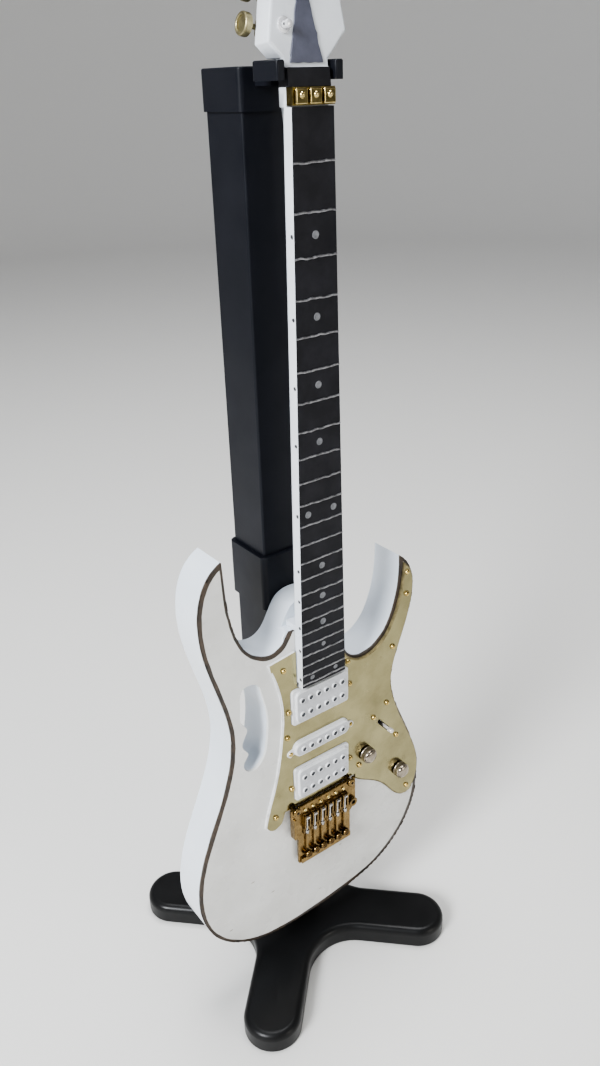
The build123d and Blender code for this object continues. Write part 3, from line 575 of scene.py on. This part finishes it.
dot_grey = finish("dot_grey", (0.20, 0.205, 0.22), (0.13, 0.135, 0.145),
                  patch=900, rough=0.4, spread=0.08, grain=3000, depth=0.02 * mm)
side_dark = finish("side_dark", (0.02, 0.02, 0.025), (0.06, 0.06, 0.065),
                   patch=900, rough=0.5, spread=0.08, grain=3000, depth=0.02 * mm)
octave_half = 4.6 * mm
dots = bmesh.new()
marks = bmesh.new()
for n in (3, 5, 7, 9, 12, 15, 17, 19, 21, 24):
    drop = scale * (1 - (2 ** (-(n - 1) / 12) + 2 ** (-n / 12)) / 2)
    radius = (1.05 if n < 20 else 0.79) * mm
    for x in ((-octave_half, octave_half) if n in (12, 24) else (0,)):
        disc = [(0, 0.03 * mm), (radius * 0.66, 0.03 * mm), (radius * 0.74, 0.075 * mm),
                (radius * 0.92, 0.075 * mm), (radius, 0.03 * mm), (radius, -0.2 * mm),
                (0, -0.2 * mm)]
        made = turned(dots, disc, (x, board_y, nut_z - drop), (0, -1, 0), 28)
        for v in corners(made):
            v.co += hand_drift(v.co, 1500, 0.10 * mm, apart=(2, 0, 0))
    half = board_width(drop) / 2
    dab = [(0, 0.06 * mm), (0.42 * mm, 0.05 * mm), (0.58 * mm, 0), (0.58 * mm, -0.1 * mm),
           (0, -0.1 * mm)]
    made = turned(marks, dab, (-half, board_y + 1.0 * mm, nut_z - drop), (-1, 0, 0), 16)
    for v in corners(made):
        v.co += Vector((0, waver(v.co, 1800, 0.16 * mm),
                        waver(v.co + Vector((5, 0, 0)), 1800, 0.24 * mm)))
settle(dots, "face_dots", ["fret_dots"], [dot_grey])
settle(marks, "side_marks", ["side_dots"], [side_dark])


# ---------------------------------------------------------------- lock nut
# A brass bar across the board's top with three clamp blocks, each held by a
# domed screw. A black shelf falls from it to the foot of the head.
def block(work, low, high, rounding, segments=2):
    """Adds a box with rounded edges and returns its faces."""
    low, high = Vector(low), Vector(high)
    old = set(work.faces)
    made = bmesh.ops.create_cube(work, size=1.0)["verts"]
    for v in made:
        v.co = Vector([(low[k] + high[k]) / 2 + v.co[k] * (high[k] - low[k])
                       for k in range(3)])
    round_off(work, list({e for v in made for e in v.link_edges}), rounding, segments)
    return [f for f in work.faces if f not in old]


old_gold = finish("old_gold", (0.25, 0.20, 0.085), (0.12, 0.095, 0.036),
                  patch=420, rough=0.22, spread=0.07, grain=2200, depth=0.02 * mm, metal=1.0)
bright_gold_and_highlight = finish("bright_gold_and_highlight", (0.74, 0.60, 0.30), (0.46, 0.36, 0.15),
                     patch=900, rough=0.13, spread=0.04, grain=4000, depth=0.01 * mm, metal=1.0)
hole_shade_black = finish("hole_shade_black", (0.008, 0.008, 0.009), (0.02, 0.02, 0.022),
                  patch=900, rough=0.6, spread=0.1, grain=3000, depth=0.01 * mm)
nut_lo, nut_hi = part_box("lock_nut_base")
clamp_lo, clamp_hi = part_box("lock_nut_clamps")
bar = merged("lock_nut_base")
bar_half = 5.9 * mm
soften(bar, 0.15 * mm, 2, 50, lambda p: abs(p.x) > bar_half or p.y < nut_lo.y + touching)
settle(bar, "lock_nut_bar", ["lock_nut_base"], [old_gold])
clamps = bmesh.new()
heads = bmesh.new()
clamp_pitch = 4.15 * mm
clamp_half = 1.75 * mm
nut_mid = (nut_lo.z + nut_hi.z) / 2
dome = [(0, 0.60 * mm), (0.25 * mm, 0.57 * mm), (0.48 * mm, 0.46 * mm), (0.66 * mm, 0.28 * mm),
        (0.72 * mm, 0.10 * mm), (0.80 * mm, 0.06 * mm), (0.80 * mm, -0.1 * mm), (0, -0.1 * mm)]
for x in (-clamp_pitch, 0, clamp_pitch):
    for f in block(clamps, (x - clamp_half, clamp_lo.y, clamp_lo.z),
                   (x + clamp_half, clamp_hi.y, clamp_hi.z), 0.28 * mm, 3):
        # The rounded edges of each block are painted bright gold as a highlight; the screws are bright gold of
        # their own.
        f.material_index = 1 if max(abs(k) for k in f.normal) < 0.98 else 0
    turned(heads, dome, (x, clamp_lo.y, nut_mid + 0.3 * mm), (0, -1, 0), 28)
settle(clamps, "lock_nut_blocks", ["lock_nut_clamps"], [old_gold, bright_gold_and_highlight])
settle(heads, "lock_nut_domes", ["lock_nut_screws"], [bright_gold_and_highlight], smooth=60)

shelf = merged("head_shelf")
soften(shelf, 0.12 * mm, angle=40)
settle(shelf, "black_shelf", ["head_shelf"], [shelf_black])

# ---------------------------------------------------------------- head panel
# A violet-grey panel of thin painted card on the head's face, a tall wedge
# whose edges were cut by hand.
panel_grey = finish("panel_grey", (0.098, 0.103, 0.145), (0.075, 0.080, 0.112),
                    patch=200, rough=0.42, spread=0.06, grain=1400, depth=0.06 * mm)
panel = merged("headstock_panel")
long_edges = [e for e in panel.edges if e.calc_length() > 3 * mm]
sideways = Vector((1, 0, 0))
bmesh.ops.subdivide_edges(panel, edges=long_edges, cuts=18)
for v in panel.verts:
    v.co += sideways * waver(v.co + Vector((0, -v.co.y, 0)), 600, 0.20 * mm)
    v.co += head_up * waver(v.co + Vector((0, 4 - v.co.y, 0)), 600, 0.12 * mm)
soften(panel, 0.1 * mm, angle=50)
settle(panel, "head_panel", ["headstock_panel"], [panel_grey], smooth=40)


# ---------------------------------------------------------------- tuners
# Six in a row: a pale turned bushing in the face, a post through the head with
# a hole for the string, a geared housing behind and a round brass key.
def housing_edge(p):
    """True on the back of a tuner's housing, away from the shafts of the keys."""
    back_of_plate = -6.2 * mm
    shaft_clear = 0.9 * mm
    if (p - head_origin).dot(head_out) >= back_of_plate:
        return False
    turns = [joints[f"key_turn_{i}"] for i in range(1, 7)]
    return all((p - Vector(j["pos_m"])).cross(Vector(j["axis"])).length > shaft_clear
               for j in turns)


aged_brass = finish("aged_brass", (0.36, 0.32, 0.19), (0.22, 0.195, 0.11),
                    patch=420, rough=0.42, spread=0.1, grain=2500, depth=0.04 * mm, metal=0.9)
pearl = finish("pearl_plate", (0.84, 0.84, 0.86), (0.70, 0.70, 0.73),
               patch=500, rough=0.24, spread=0.06, grain=3000, depth=0.02 * mm, metal=0.35)
bushings = bmesh.new()
ring = [(1.0 * mm, -0.1 * mm), (1.8 * mm, -0.1 * mm), (1.8 * mm, 0.22 * mm),
        (1.68 * mm, 0.42 * mm), (1.40 * mm, 0.56 * mm), (1.12 * mm, 0.60 * mm),
        (1.0 * mm, 0.55 * mm), (1.0 * mm, -0.1 * mm)]
for p in post_places:
    turned(bushings, ring, p, head_out, 36)
settle(bushings, "tuner_collars", ["tuner_bushings"], [pearl])
housings = merged("tuner_housings")
soften(housings, 0.3 * mm, 3, 50, housing_edge)
settle(housings, "tuner_boxes", ["tuner_housings"], [aged_brass])
post_top = 2.6 * mm
post_foot = -6.1 * mm
hole_down = 1.25 * mm
hole_half = 0.83 * mm
hole_r = 0.30 * mm
shaft = [(0, post_top), (0.45 * mm, post_top), (0.78 * mm, post_top - 0.12 * mm),
         (0.93 * mm, post_top - 0.4 * mm), (0.95 * mm, post_top - 0.7 * mm),
         (0.80 * mm, post_top - 1.0 * mm), (0.80 * mm, post_top - 1.5 * mm),
         (0.95 * mm, post_top - 1.9 * mm), (0.95 * mm, post_foot), (0, post_foot)]
hole = [(0, hole_half), (hole_r, hole_half), (hole_r, -hole_half), (0, -hole_half)]
near, far, wide = 4.9 * mm, 6.9 * mm, 2.6 * mm     # the key's button, out along its shaft
button = [(0, 0.25 * mm), (0.6 * mm, 0.25 * mm), (0.6 * mm, near - 0.5 * mm),
          (0.95 * mm, near - 0.3 * mm), (1.05 * mm, near), (wide - 0.35 * mm, near),
          (wide - 0.08 * mm, near + 0.15 * mm), (wide, near + 0.4 * mm),
          (wide, far - 0.4 * mm), (wide - 0.08 * mm, far - 0.15 * mm),
          (wide - 0.3 * mm, far), (wide - 0.65 * mm, far),
          (wide - 0.8 * mm, far - 0.12 * mm), (wide - 0.85 * mm, far - 0.48 * mm),
          (0.5 * mm, far - 0.42 * mm), (0, far - 0.36 * mm)]
for i in range(1, 7):
    p = post_places[i - 1]
    post = bmesh.new()
    turned(post, shaft, p, head_out, 32)
    hole_mid = p + head_out * (post_top - hole_down)
    # The string hole is a short black rod across the post, painted black as the shade inside a hole.
    for f in turned(post, hole, hole_mid, (1, 0, 0), 16):
        f.material_index = 1
    settle(post, f"tuner_post_turned_{i}", [f"tuner_post_{i}"], [pearl, hole_shade_black])
    joint = joints[f"key_turn_{i}"]
    key = bmesh.new()
    turned(key, button, Vector(joint["pos_m"]), joint["axis"], 40)
    settle(key, f"tuner_key_turned_{i}", [f"tuner_key_{i}"], [aged_brass])

# ---------------------------------------------------------------- guard
# A thin plate of white plastic with champagne-gold foil on its face, under the
# pickups and controls. The foil stops at the slanted edge, which stays white on
# the bass side; on the treble side, turned from the key lamp, the edge is painted
# brown as shade.
guard_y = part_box("pickguard")[0].y
guard_gold = finish("guard_gold", (0.41, 0.37, 0.205), (0.25, 0.22, 0.115),
                    patch=70, rough=0.20, spread=0.08, grain=90, depth=0.3 * mm, metal=1.0, mix=0.8)
guard_white = finish("guard_white", (0.80, 0.80, 0.80), (0.68, 0.68, 0.67),
                     patch=300, rough=0.3, spread=0.05, grain=1500, depth=0.03 * mm)
shade_brown = finish("shade_brown", (0.30, 0.25, 0.13), (0.12, 0.10, 0.05),
                     patch=300, rough=0.4, spread=0.1, grain=1500, depth=0.04 * mm, metal=0.6)
guard = merged("pickguard")
guard_rims = front_rims(guard)
trem_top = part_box("trem_plate")[1].z
pickup_side = 10.6 * mm
cutout_side = 15.6 * mm
cutout_top = trem_top + 2 * mm
guard_rim = 0.5 * mm
guard_slant = 0.25 * mm
guard_join = 0.3 * mm


def in_cutout(e):
    """True for an edge of the cut-out that the tremolo fills."""
    return (max(abs(v.co.x) for v in e.verts) < cutout_side
            and max(v.co.z for v in e.verts) < cutout_top)


outline = [e for e in guard_rims[0]
           if min(abs(v.co.x) for v in e.verts) > pickup_side and not in_cutout(e)]
slant = round_off(guard, outline, guard_rim, 1, clamp=False)
# The edge is white on the bass side of white_end. Under white_low it is white
# only on the bass side of bass_end. The rest of the edge is painted brown as shade.
white_end = 8 * mm
bass_end = -15.3 * mm
white_low = trem_top + 3 * mm
for f in guard.faces:
    mid = f.calc_center_median()
    if f.normal.y < -0.9:
        f.material_index = 0
    else:
        white = mid.x < white_end and (mid.x < bass_end or mid.z > white_low)
        f.material_index = 1 if white else 2
for v in corners(slant):
    if v.co.y < guard_y + touching:
        v.co += hand_drift(v.co, 500, 0.12 * mm)
    else:
        v.co.y = guard_y + guard_slant
inner = [v for v in corners(slant) if v.co.y < guard_y + touching]
bmesh.ops.remove_doubles(guard, verts=inner, dist=guard_join)

# The cut-out's upper edge comes down close to the tremolo.
cutout_drop = 0.65 * mm
for v in guard.verts:
    if abs(v.co.x) < cutout_side and trem_top + 0.4 * mm < v.co.z < trem_top + 1.5 * mm:
        v.co.z -= cutout_drop
settle(guard, "guard_plate", ["pickguard"], [guard_gold, guard_white, shade_brown],
       smooth=30)


# ---------------------------------------------------------------- ball screws
# Small gold screws with round, polished heads; a thin ring under each head is
# painted brown as shade. They hold the guard to the body and the pickups to the guard.
def shell_centres(node):
    """The middle of each separate solid of a CAD node."""
    work = merged(node)
    left = set(work.verts)
    middles = []
    while left:
        reach = [left.pop()]
        found = list(reach)
        while reach:
            v = reach.pop()
            for e in v.link_edges:
                other = e.other_vert(v)
                if other in left:
                    left.remove(other)
                    reach.append(other)
                    found.append(other)
        lows = [min(v.co[k] for v in found) for k in range(3)]
        highs = [max(v.co[k] for v in found) for k in range(3)]
        middles.append(Vector([(a + b) / 2 for a, b in zip(lows, highs)]))
    work.free()
    return sorted(middles, key=lambda m: (round(m.z, 5), round(m.x, 5)))


screw_gold = finish("screw_gold", (0.66, 0.50, 0.20), (0.42, 0.31, 0.11),
                    patch=900, rough=0.15, spread=0.04, grain=4000, depth=0.01 * mm, metal=1.0)


def ball_heads(node, name):
    """Makes a ball screw in the place of each solid of a CAD node."""
    screws = bmesh.new()
    ball_r = 0.92 * mm
    sunk = 0.12 * mm
    collar_r = ball_r * 1.14
    shade_ring_tall = 0.11 * mm
    ball = [(ball_r * cos(a), sunk + ball_r * sin(a)) for a in quarter_arc[1:8]]
    ball += [(0, sunk + ball_r)]
    collar = [(0, -0.5 * mm), (0.4 * mm, -0.5 * mm), (0.4 * mm, 0.01 * mm),
              (collar_r, 0.01 * mm), (collar_r, 0.08 * mm), (ball_r, sunk)]
    for c in shell_centres(node):
        for f in turned(screws, collar + ball, (c.x, guard_y, c.z), (0, -1, 0), 28):
            # The ring next to the guard is painted brown as the shade under the ball.
            f.material_index = 1 if guard_y - f.calc_center_median().y < shade_ring_tall else 0
    settle(screws, name, [node], [screw_gold, shade_brown], smooth=60)


ball_heads("pickguard_screws", "guard_ball_screws")
ball_heads("pickup_screws", "pickup_ball_screws")


# ---------------------------------------------------------------- pickups
# White moulded covers that stand through the guard: two double ones with a
# low skirt and a raised middle, and a single one with pointed screw tabs. The
# front face of each is painted a darker grey as shade. Each pole is a small
# raised bump whose hollow middle is painted dark grey as shade.
def tablet(work, low, high, corner, rim, segments=3, corner_steps=6):
    """Adds a flat block that faces the player, with round corners and a rounded front rim."""
    old = set(work.faces)
    spots = [work.verts.new((x, low[1], z)) for x, z in
             ((low[0], low[2]), (high[0], low[2]), (high[0], high[2]), (low[0], high[2]))]
    work.faces.new(spots)
    bmesh.ops.bevel(work, geom=spots, offset=corner, offset_type="OFFSET", segments=corner_steps,
                    profile=0.5, affect="VERTICES", clamp_overlap=True, material=-1)
    face = [f for f in work.faces if f not in old]
    made = bmesh.ops.extrude_face_region(work, geom=face)["geom"]
    for v in made:
        if isinstance(v, bmesh.types.BMVert):
            v.co.y = high[1]
    fresh = [f for f in work.faces if f not in old]
    bmesh.ops.recalc_face_normals(work, faces=fresh)
    front = [f for f in fresh if f.is_valid and f.normal.y < -0.9]
    round_off(work, list({e for f in front for e in f.edges}), rim, segments)


def six_across(pitch):
    """The six strings' places across the neck, from the bass side."""
    return [(i - 2.5) * pitch for i in range(6)]


pickup_white = finish("pickup_white", (0.80, 0.81, 0.82), (0.71, 0.715, 0.73),
                      patch=150, rough=0.28, spread=0.05, grain=1500, depth=0.03 * mm, coat=0.15)
pole_pitch = 3.2 * mm
row_half = 2.65 * mm
bump_profile = [(0, 0.14 * mm), (0.72 * mm, 0.14 * mm), (0.75 * mm, 0.38 * mm),
                (0.81 * mm, 0.46 * mm), (0.92 * mm, 0.44 * mm), (1.04 * mm, 0.30 * mm),
                (1.12 * mm, 0.08 * mm), (1.16 * mm, -0.2 * mm), (0, -0.2 * mm)]
hole_edge = 0.745 * mm
pickup_top_shade = finish("pickup_top_shade", (0.60, 0.61, 0.64), (0.52, 0.53, 0.555),
                     patch=150, rough=0.30, spread=0.05, grain=1500, depth=0.03 * mm, coat=0.1)
pole_hole_shade = finish("pole_hole_shade", (0.055, 0.060, 0.070), (0.09, 0.095, 0.105),
                   patch=900, rough=0.4, spread=0.08, grain=3000, depth=0.01 * mm)
tab_r = 1.35 * mm
tab_thick = 0.45 * mm
tab_point = 1.6
skirt = 0.95 * mm
single_tall = 8 * mm
face_rise = 1.2 * mm
cover_back = guard_y + 0.4 * mm     # just under the guard's face
poles = bmesh.new()
pole_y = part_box("pickup_poles")[0].y + 0.45 * mm
for node, name in (("pickup_neck", "neck_pickup"), ("pickup_middle", "middle_pickup"),
                   ("pickup_bridge", "bridge_pickup")):
    lo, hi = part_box(node)
    mid_z = (lo.z + hi.z) / 2
    cover = bmesh.new()
    single = hi.z - lo.z < single_tall
    if single:
        tablet(cover, (lo.x, lo.y, lo.z), (hi.x, cover_back, hi.z), 2.5 * mm, 0.6 * mm, 4, 8)
        tablet(cover, (lo.x - 0.1 * mm, guard_y - 0.45 * mm, lo.z - 0.3 * mm),
               (hi.x + 0.1 * mm, guard_y + 0.3 * mm, hi.z + 0.3 * mm), 2.8 * mm, 0.15 * mm, 2, 8)
        for side in (-1, 1):
            tab_x = side * ((hi.x - lo.x) / 2 + 1.1 * mm)
            tab = bmesh.ops.create_cone(cover, cap_ends=True, segments=28, radius1=tab_r,
                                        radius2=tab_r - 0.1 * mm, depth=tab_thick)["verts"]
            for v in tab:
                pull = 1.0 + tab_point * max(0.0, -side * v.co.x / tab_r)
                lift = 0.9 * mm * (pull - 1) / tab_point
                v.co = Vector((tab_x + v.co.x * pull, guard_y - 0.22 * mm - v.co.z,
                               mid_z - 1.0 * mm + v.co.y + lift))
    else:
        tablet(cover, (lo.x, guard_y - 0.75 * mm, lo.z), (hi.x, cover_back, hi.z),
               0.9 * mm, 0.22 * mm, 2)
        tablet(cover, (lo.x + skirt, lo.y, lo.z + skirt * 0.7),
               (hi.x - skirt * 0.6, guard_y, hi.z - skirt * 0.7), 1.9 * mm, 0.45 * mm, 4, 8)
    bmesh.ops.recalc_face_normals(cover, faces=cover.faces)
    for f in cover.faces:
        # The cover's front face is painted a darker grey than its rims, as shade.
        if f.normal.y < -0.99 and f.calc_center_median().y < guard_y - face_rise:
            f.material_index = 1
    settle(cover, name, [node], [pickup_white, pickup_top_shade], smooth=32)
    for row in ((0,) if single else (-row_half, row_half)):
        for x in six_across(pole_pitch):
            for f in turned(poles, bump_profile, (x, pole_y, mid_z + row), (0, -1, 0), 20):
                mid = f.calc_center_median()
                reach = Vector((mid.x - x, mid.z - mid_z - row)).length
                # The hollow middle of each bump is painted dark grey as shade.
                if reach < hole_edge and mid.y < pole_y:
                    f.material_index = 1
settle(poles, "pole_bumps", ["pickup_poles"], [pickup_white, pole_hole_shade], smooth=40)


# ---------------------------------------------------------------- controls
# Two turned metal knobs with domed tops, fine ribs and a polished crown, on
# steel potentiometer shafts that come up through the guard.
def paint(node, mat):
    """Gives a CAD node that stays in view a finish."""
    held = frame["nodes"][node]
    held.data.materials.clear()
    held.data.materials.append(mat)


knob_metal = finish("knob_metal", (0.50, 0.45, 0.38), (0.30, 0.26, 0.21),
                    patch=300, rough=0.34, spread=0.06, grain=2500, depth=0.02 * mm, metal=1.0)
knob_crown = finish("knob_crown", (0.44, 0.385, 0.315), (0.30, 0.26, 0.21),
                    patch=400, rough=0.22, spread=0.04, grain=3500, depth=0.01 * mm, metal=1.0)
rib_count = 36
rib_depth = 0.10 * mm
ribs_low = 0.55 * mm
ribs_short = 1.3 * mm
crown_deep = 1.1 * mm
dome_tall = 1.2 * mm
for node, name in (("knob_volume", "volume_dial"), ("knob_tone", "tone_dial")):
    lo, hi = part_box(node)
    middle = Vector(((lo.x + hi.x) / 2, hi.y, (lo.z + hi.z) / 2))
    tall = hi.y - lo.y
    wide = (hi.x - lo.x) / 2
    dial = bmesh.new()
    barrel = [(0, 0.05 * mm), (wide - 0.35 * mm, 0.0), (wide - 0.1 * mm, 0.08 * mm),
              (wide - 0.04 * mm, 0.3 * mm), (wide - 0.14 * mm, 0.5 * mm),
              (wide - 0.06 * mm, 0.62 * mm), (wide - 0.1 * mm, tall - 1.35 * mm),
              (wide - 0.28 * mm, tall - 1.25 * mm)]
    crown = wide - 0.34 * mm
    barrel += [(crown * cos(a), tall - dome_tall * (1 - sin(a))) for a in quarter_arc[:8]]
    barrel += [(0, tall)]
    for f in turned(dial, barrel, middle, (0, -1, 0), rib_count * 2):
        f.material_index = 1 if middle.y - f.calc_center_median().y > tall - crown_deep else 0
    for v in dial.verts:
        off = v.co - middle
        height = -off.y
        off.y = 0
        if ribs_low < height < tall - ribs_short:
            if round(atan2(off.z, off.x) * rib_count / pi) % 2:
                v.co -= off.normalized() * rib_depth
    settle(dial, name, [node], [knob_metal, knob_crown], smooth=24)
for node in ("control_pots", "switch_pin", "trem_block"):
    paint(node, steel)

# ---------------------------------------------------------------- switch
# A blade switch under a slanted slot in the guard. Its lever carries a small
# white tip; its frame is black.
lever_white = finish("lever_white", (0.82, 0.80, 0.78), (0.66, 0.60, 0.58),
                     patch=700, rough=0.24, spread=0.06, grain=3000, depth=0.02 * mm, metal=0.4)
switch_black = finish("switch_black", (0.012, 0.012, 0.013), (0.03, 0.03, 0.032),
                      patch=500, rough=0.4, spread=0.1, grain=2600, depth=0.02 * mm)
paint("switch_frame", switch_black)
lever = merged("switch_lever")
soften(lever, 0.1 * mm, 2, 50, lambda p: p.y < guard_y)
settle(lever, "switch_handle", ["switch_lever"], [lever_white])

# ---------------------------------------------------------------- tremolo
# A bridge plate of gilt bronze that rocks on two posts, with a raised wall on
# its bass side, a collar for the arm and a rail under the fine tuners.
bronze = finish("bronze", (0.30, 0.205, 0.088), (0.155, 0.102, 0.040),
                patch=260, rough=0.26, spread=0.08, grain=1500, depth=0.05 * mm, metal=1.0, mix=0.8)
saddle_lo, saddle_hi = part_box("trem_saddles")
top_y = saddle_hi.y
plate_shape = merged("trem_plate")
soften(plate_shape, 0.22 * mm, angle=50)
settle(plate_shape, "tremolo_plate", ["trem_plate"], [bronze])
rail = merged("trem_rail")
soften(rail, 0.25 * mm, 3, 50)
settle(rail, "tuner_rail", ["trem_rail"], [bronze])
arm_lo, arm_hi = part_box("trem_arm_collar")
arm_mid = Vector(((arm_lo.x + arm_hi.x) / 2, arm_hi.y, (arm_lo.z + arm_hi.z) / 2))
arm_tall = arm_hi.y - arm_lo.y
collar_shape = bmesh.new()
cup = [(0.75 * mm, 0), (1.7 * mm, 0), (1.7 * mm, 0.5 * mm), (1.5 * mm, 0.6 * mm),
       (1.5 * mm, 0.75 * mm), (1.7 * mm, 0.85 * mm), (1.7 * mm, arm_tall - 0.2 * mm),
       (1.5 * mm, arm_tall), (1.0 * mm, arm_tall), (0.75 * mm, arm_tall - 0.2 * mm),
       (0.75 * mm, 0)]
turned(collar_shape, cup, arm_mid, (0, -1, 0), 36)
settle(collar_shape, "arm_collar", ["trem_arm_collar"], [bronze], smooth=40)
stud_heads = bmesh.new()
key_hole = 0.5 * mm
cap = [(0, 0.45 * mm), (0.45 * mm, 0.45 * mm), (0.52 * mm, 0.95 * mm), (1.15 * mm, 0.95 * mm),
       (1.42 * mm, 0.75 * mm), (1.5 * mm, 0.5 * mm), (1.5 * mm, 0.2 * mm), (0.8 * mm, 0.2 * mm),
       (0.8 * mm, -6 * mm), (0, -6 * mm)]
for c in shell_centres("trem_studs"):
    for f in turned(stud_heads, cap, (c.x, top_y, c.z), (0, -1, 0), 32):
        mid = f.calc_center_median()
        # The floor of each key hole is painted black as shade.
        if Vector((mid.x - c.x, mid.z - c.z)).length < key_hole and mid.y < top_y:
            f.material_index = 1
settle(stud_heads, "pivot_posts", ["trem_studs"], [bronze, hole_shade_black], smooth=40)

# ---------------------------------------------------------------- saddles
# Six bright saddles side by side: a gilt foot, two cheeks with a roller between
# them, and a long polished screw that ends in a round head.
saddle_silver = finish("saddle_silver", (0.58, 0.57, 0.56), (0.32, 0.30, 0.28),
                       patch=500, rough=0.16, spread=0.06, grain=2600, depth=0.03 * mm, metal=1.0)
saddles = bmesh.new()
string_pitch = 3.28 * mm
saddle_w = 2.5 * mm
cheek = 0.55 * mm
cheek_mid = saddle_w / 2 - cheek / 2
roller_w = saddle_w - 2 * cheek
roller_r = 0.62 * mm
high_z = saddle_z + 1.1 * mm
low_z = saddle_z - 7.3 * mm
crest_z = high_z - 1.6 * mm
roller = [(0, 0), (roller_r, 0), (roller_r, roller_w), (0, roller_w)]
screw = [(0, 0), (0.36 * mm, 0), (0.36 * mm, 5.0 * mm), (0.66 * mm, 5.05 * mm),
         (0.70 * mm, 5.3 * mm), (0.70 * mm, 6.3 * mm), (0.6 * mm, 6.55 * mm),
         (0.3 * mm, 6.62 * mm), (0, 6.62 * mm)]
foot_front = top_y - 0.55 * mm
foot_sunk = top_y + 0.02 * mm     # a hair into the plate
for x in six_across(string_pitch):
    for f in block(saddles, (x - saddle_w / 2, foot_front, low_z),
                   (x + saddle_w / 2, foot_sunk, high_z), 0.12 * mm):
        f.material_index = 1
    for side in (-1, 1):
        cheek_x = x + side * cheek_mid
        wall = block(saddles, (cheek_x - cheek / 2, saddle_lo.y + 0.1 * mm, low_z + 2.6 * mm),
                     (cheek_x + cheek / 2, top_y - 0.3 * mm, high_z - 0.1 * mm), 0.14 * mm)
        for f in wall:
            f.material_index = 1
        for v in corners(wall):
            slope = (crest_z - v.co.z) / (high_z - low_z)
            if v.co.y < top_y - 1.0 * mm:
                v.co.y += max(slope, -0.4) * 1.1 * mm + abs(min(slope, 0)) * 2.2 * mm
    turned(saddles, roller, (x - saddle_w / 2 + cheek, top_y - 1.15 * mm, high_z - 1.3 * mm),
           (1, 0, 0), 20)
    turned(saddles, screw, (x, top_y - 0.95 * mm, crest_z), (0, 0.02, -1), 20)
bmesh.ops.recalc_face_normals(saddles, faces=saddles.faces)
settle(saddles, "string_saddles", ["trem_saddles"], [saddle_silver, bronze],
       smooth=40)

# ---------------------------------------------------------------- fine tuners
# Each string has a small bright clamp screw above its saddle, a thin gilt arm
# below it and a dark turned knob on the arm's end, whose rim is painted gilt as a
# highlight.
clamp_screws = bmesh.new()
pin = [(0, 0.7 * mm), (0.3 * mm, 0.68 * mm), (0.52 * mm, 0.52 * mm), (0.6 * mm, 0.28 * mm),
       (0.6 * mm, 0.14 * mm), (0.74 * mm, 0.12 * mm), (0.74 * mm, -0.02 * mm), (0, -0.02 * mm)]
for c in shell_centres("trem_saddle_screws"):
    turned(clamp_screws, pin, (c.x, top_y, c.z), (0, -1, 0), 24)
settle(clamp_screws, "clamp_screws", ["trem_saddle_screws"], [bright_gold_and_highlight],
       smooth=60)
knobs = bmesh.new()
knob_lo, knob_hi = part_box("fine_tuners")
knob_z = (knob_lo.z + knob_hi.z) / 2
knob_tall = knob_hi.y - knob_lo.y
highlight_inner, highlight_outer = 0.9 * mm, 1.25 * mm
highlight_low = knob_tall - 0.4 * mm
barrel = [(0, 0), (0.9 * mm, 0), (0.95 * mm, 0.5 * mm), (1.30 * mm, 0.62 * mm),
          (1.36 * mm, 0.8 * mm), (1.36 * mm, knob_tall - 0.75 * mm),
          (1.30 * mm, knob_tall - 0.45 * mm), (1.14 * mm, knob_tall - 0.2 * mm),
          (0.98 * mm, knob_tall - 0.07 * mm), (0.88 * mm, knob_tall - 0.10 * mm),
          (0.82 * mm, knob_tall - 0.18 * mm), (0.5 * mm, knob_tall - 0.05 * mm), (0, knob_tall)]
arm_half = 0.5 * mm
for x in six_across(string_pitch):
    for f in turned(knobs, barrel, (x, knob_hi.y, knob_z), (0, -1, 0), 32):
        mid = f.calc_center_median()
        reach = Vector((mid.x - x, mid.z - knob_z)).length
        # The knob's rim is painted gilt bronze as a highlight.
        highlight_rim = highlight_inner < reach < highlight_outer and knob_hi.y - mid.y > highlight_low
        f.material_index = 1 if highlight_rim else 0
    for f in block(knobs, (x - arm_half, top_y - 0.75 * mm, knob_z + 0.6 * mm),
                   (x + arm_half, foot_sunk, low_z + 0.3 * mm), 0.2 * mm):
        f.material_index = 1
dark_bronze = finish("dark_bronze", (0.115, 0.066, 0.024), (0.06, 0.034, 0.012),
                     patch=420, rough=0.20, spread=0.06, grain=2600, depth=0.05 * mm, metal=1.0)
settle(knobs, "tuner_knobs", ["fine_tuners"], [dark_bronze, bronze], smooth=40)

lo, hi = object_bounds()
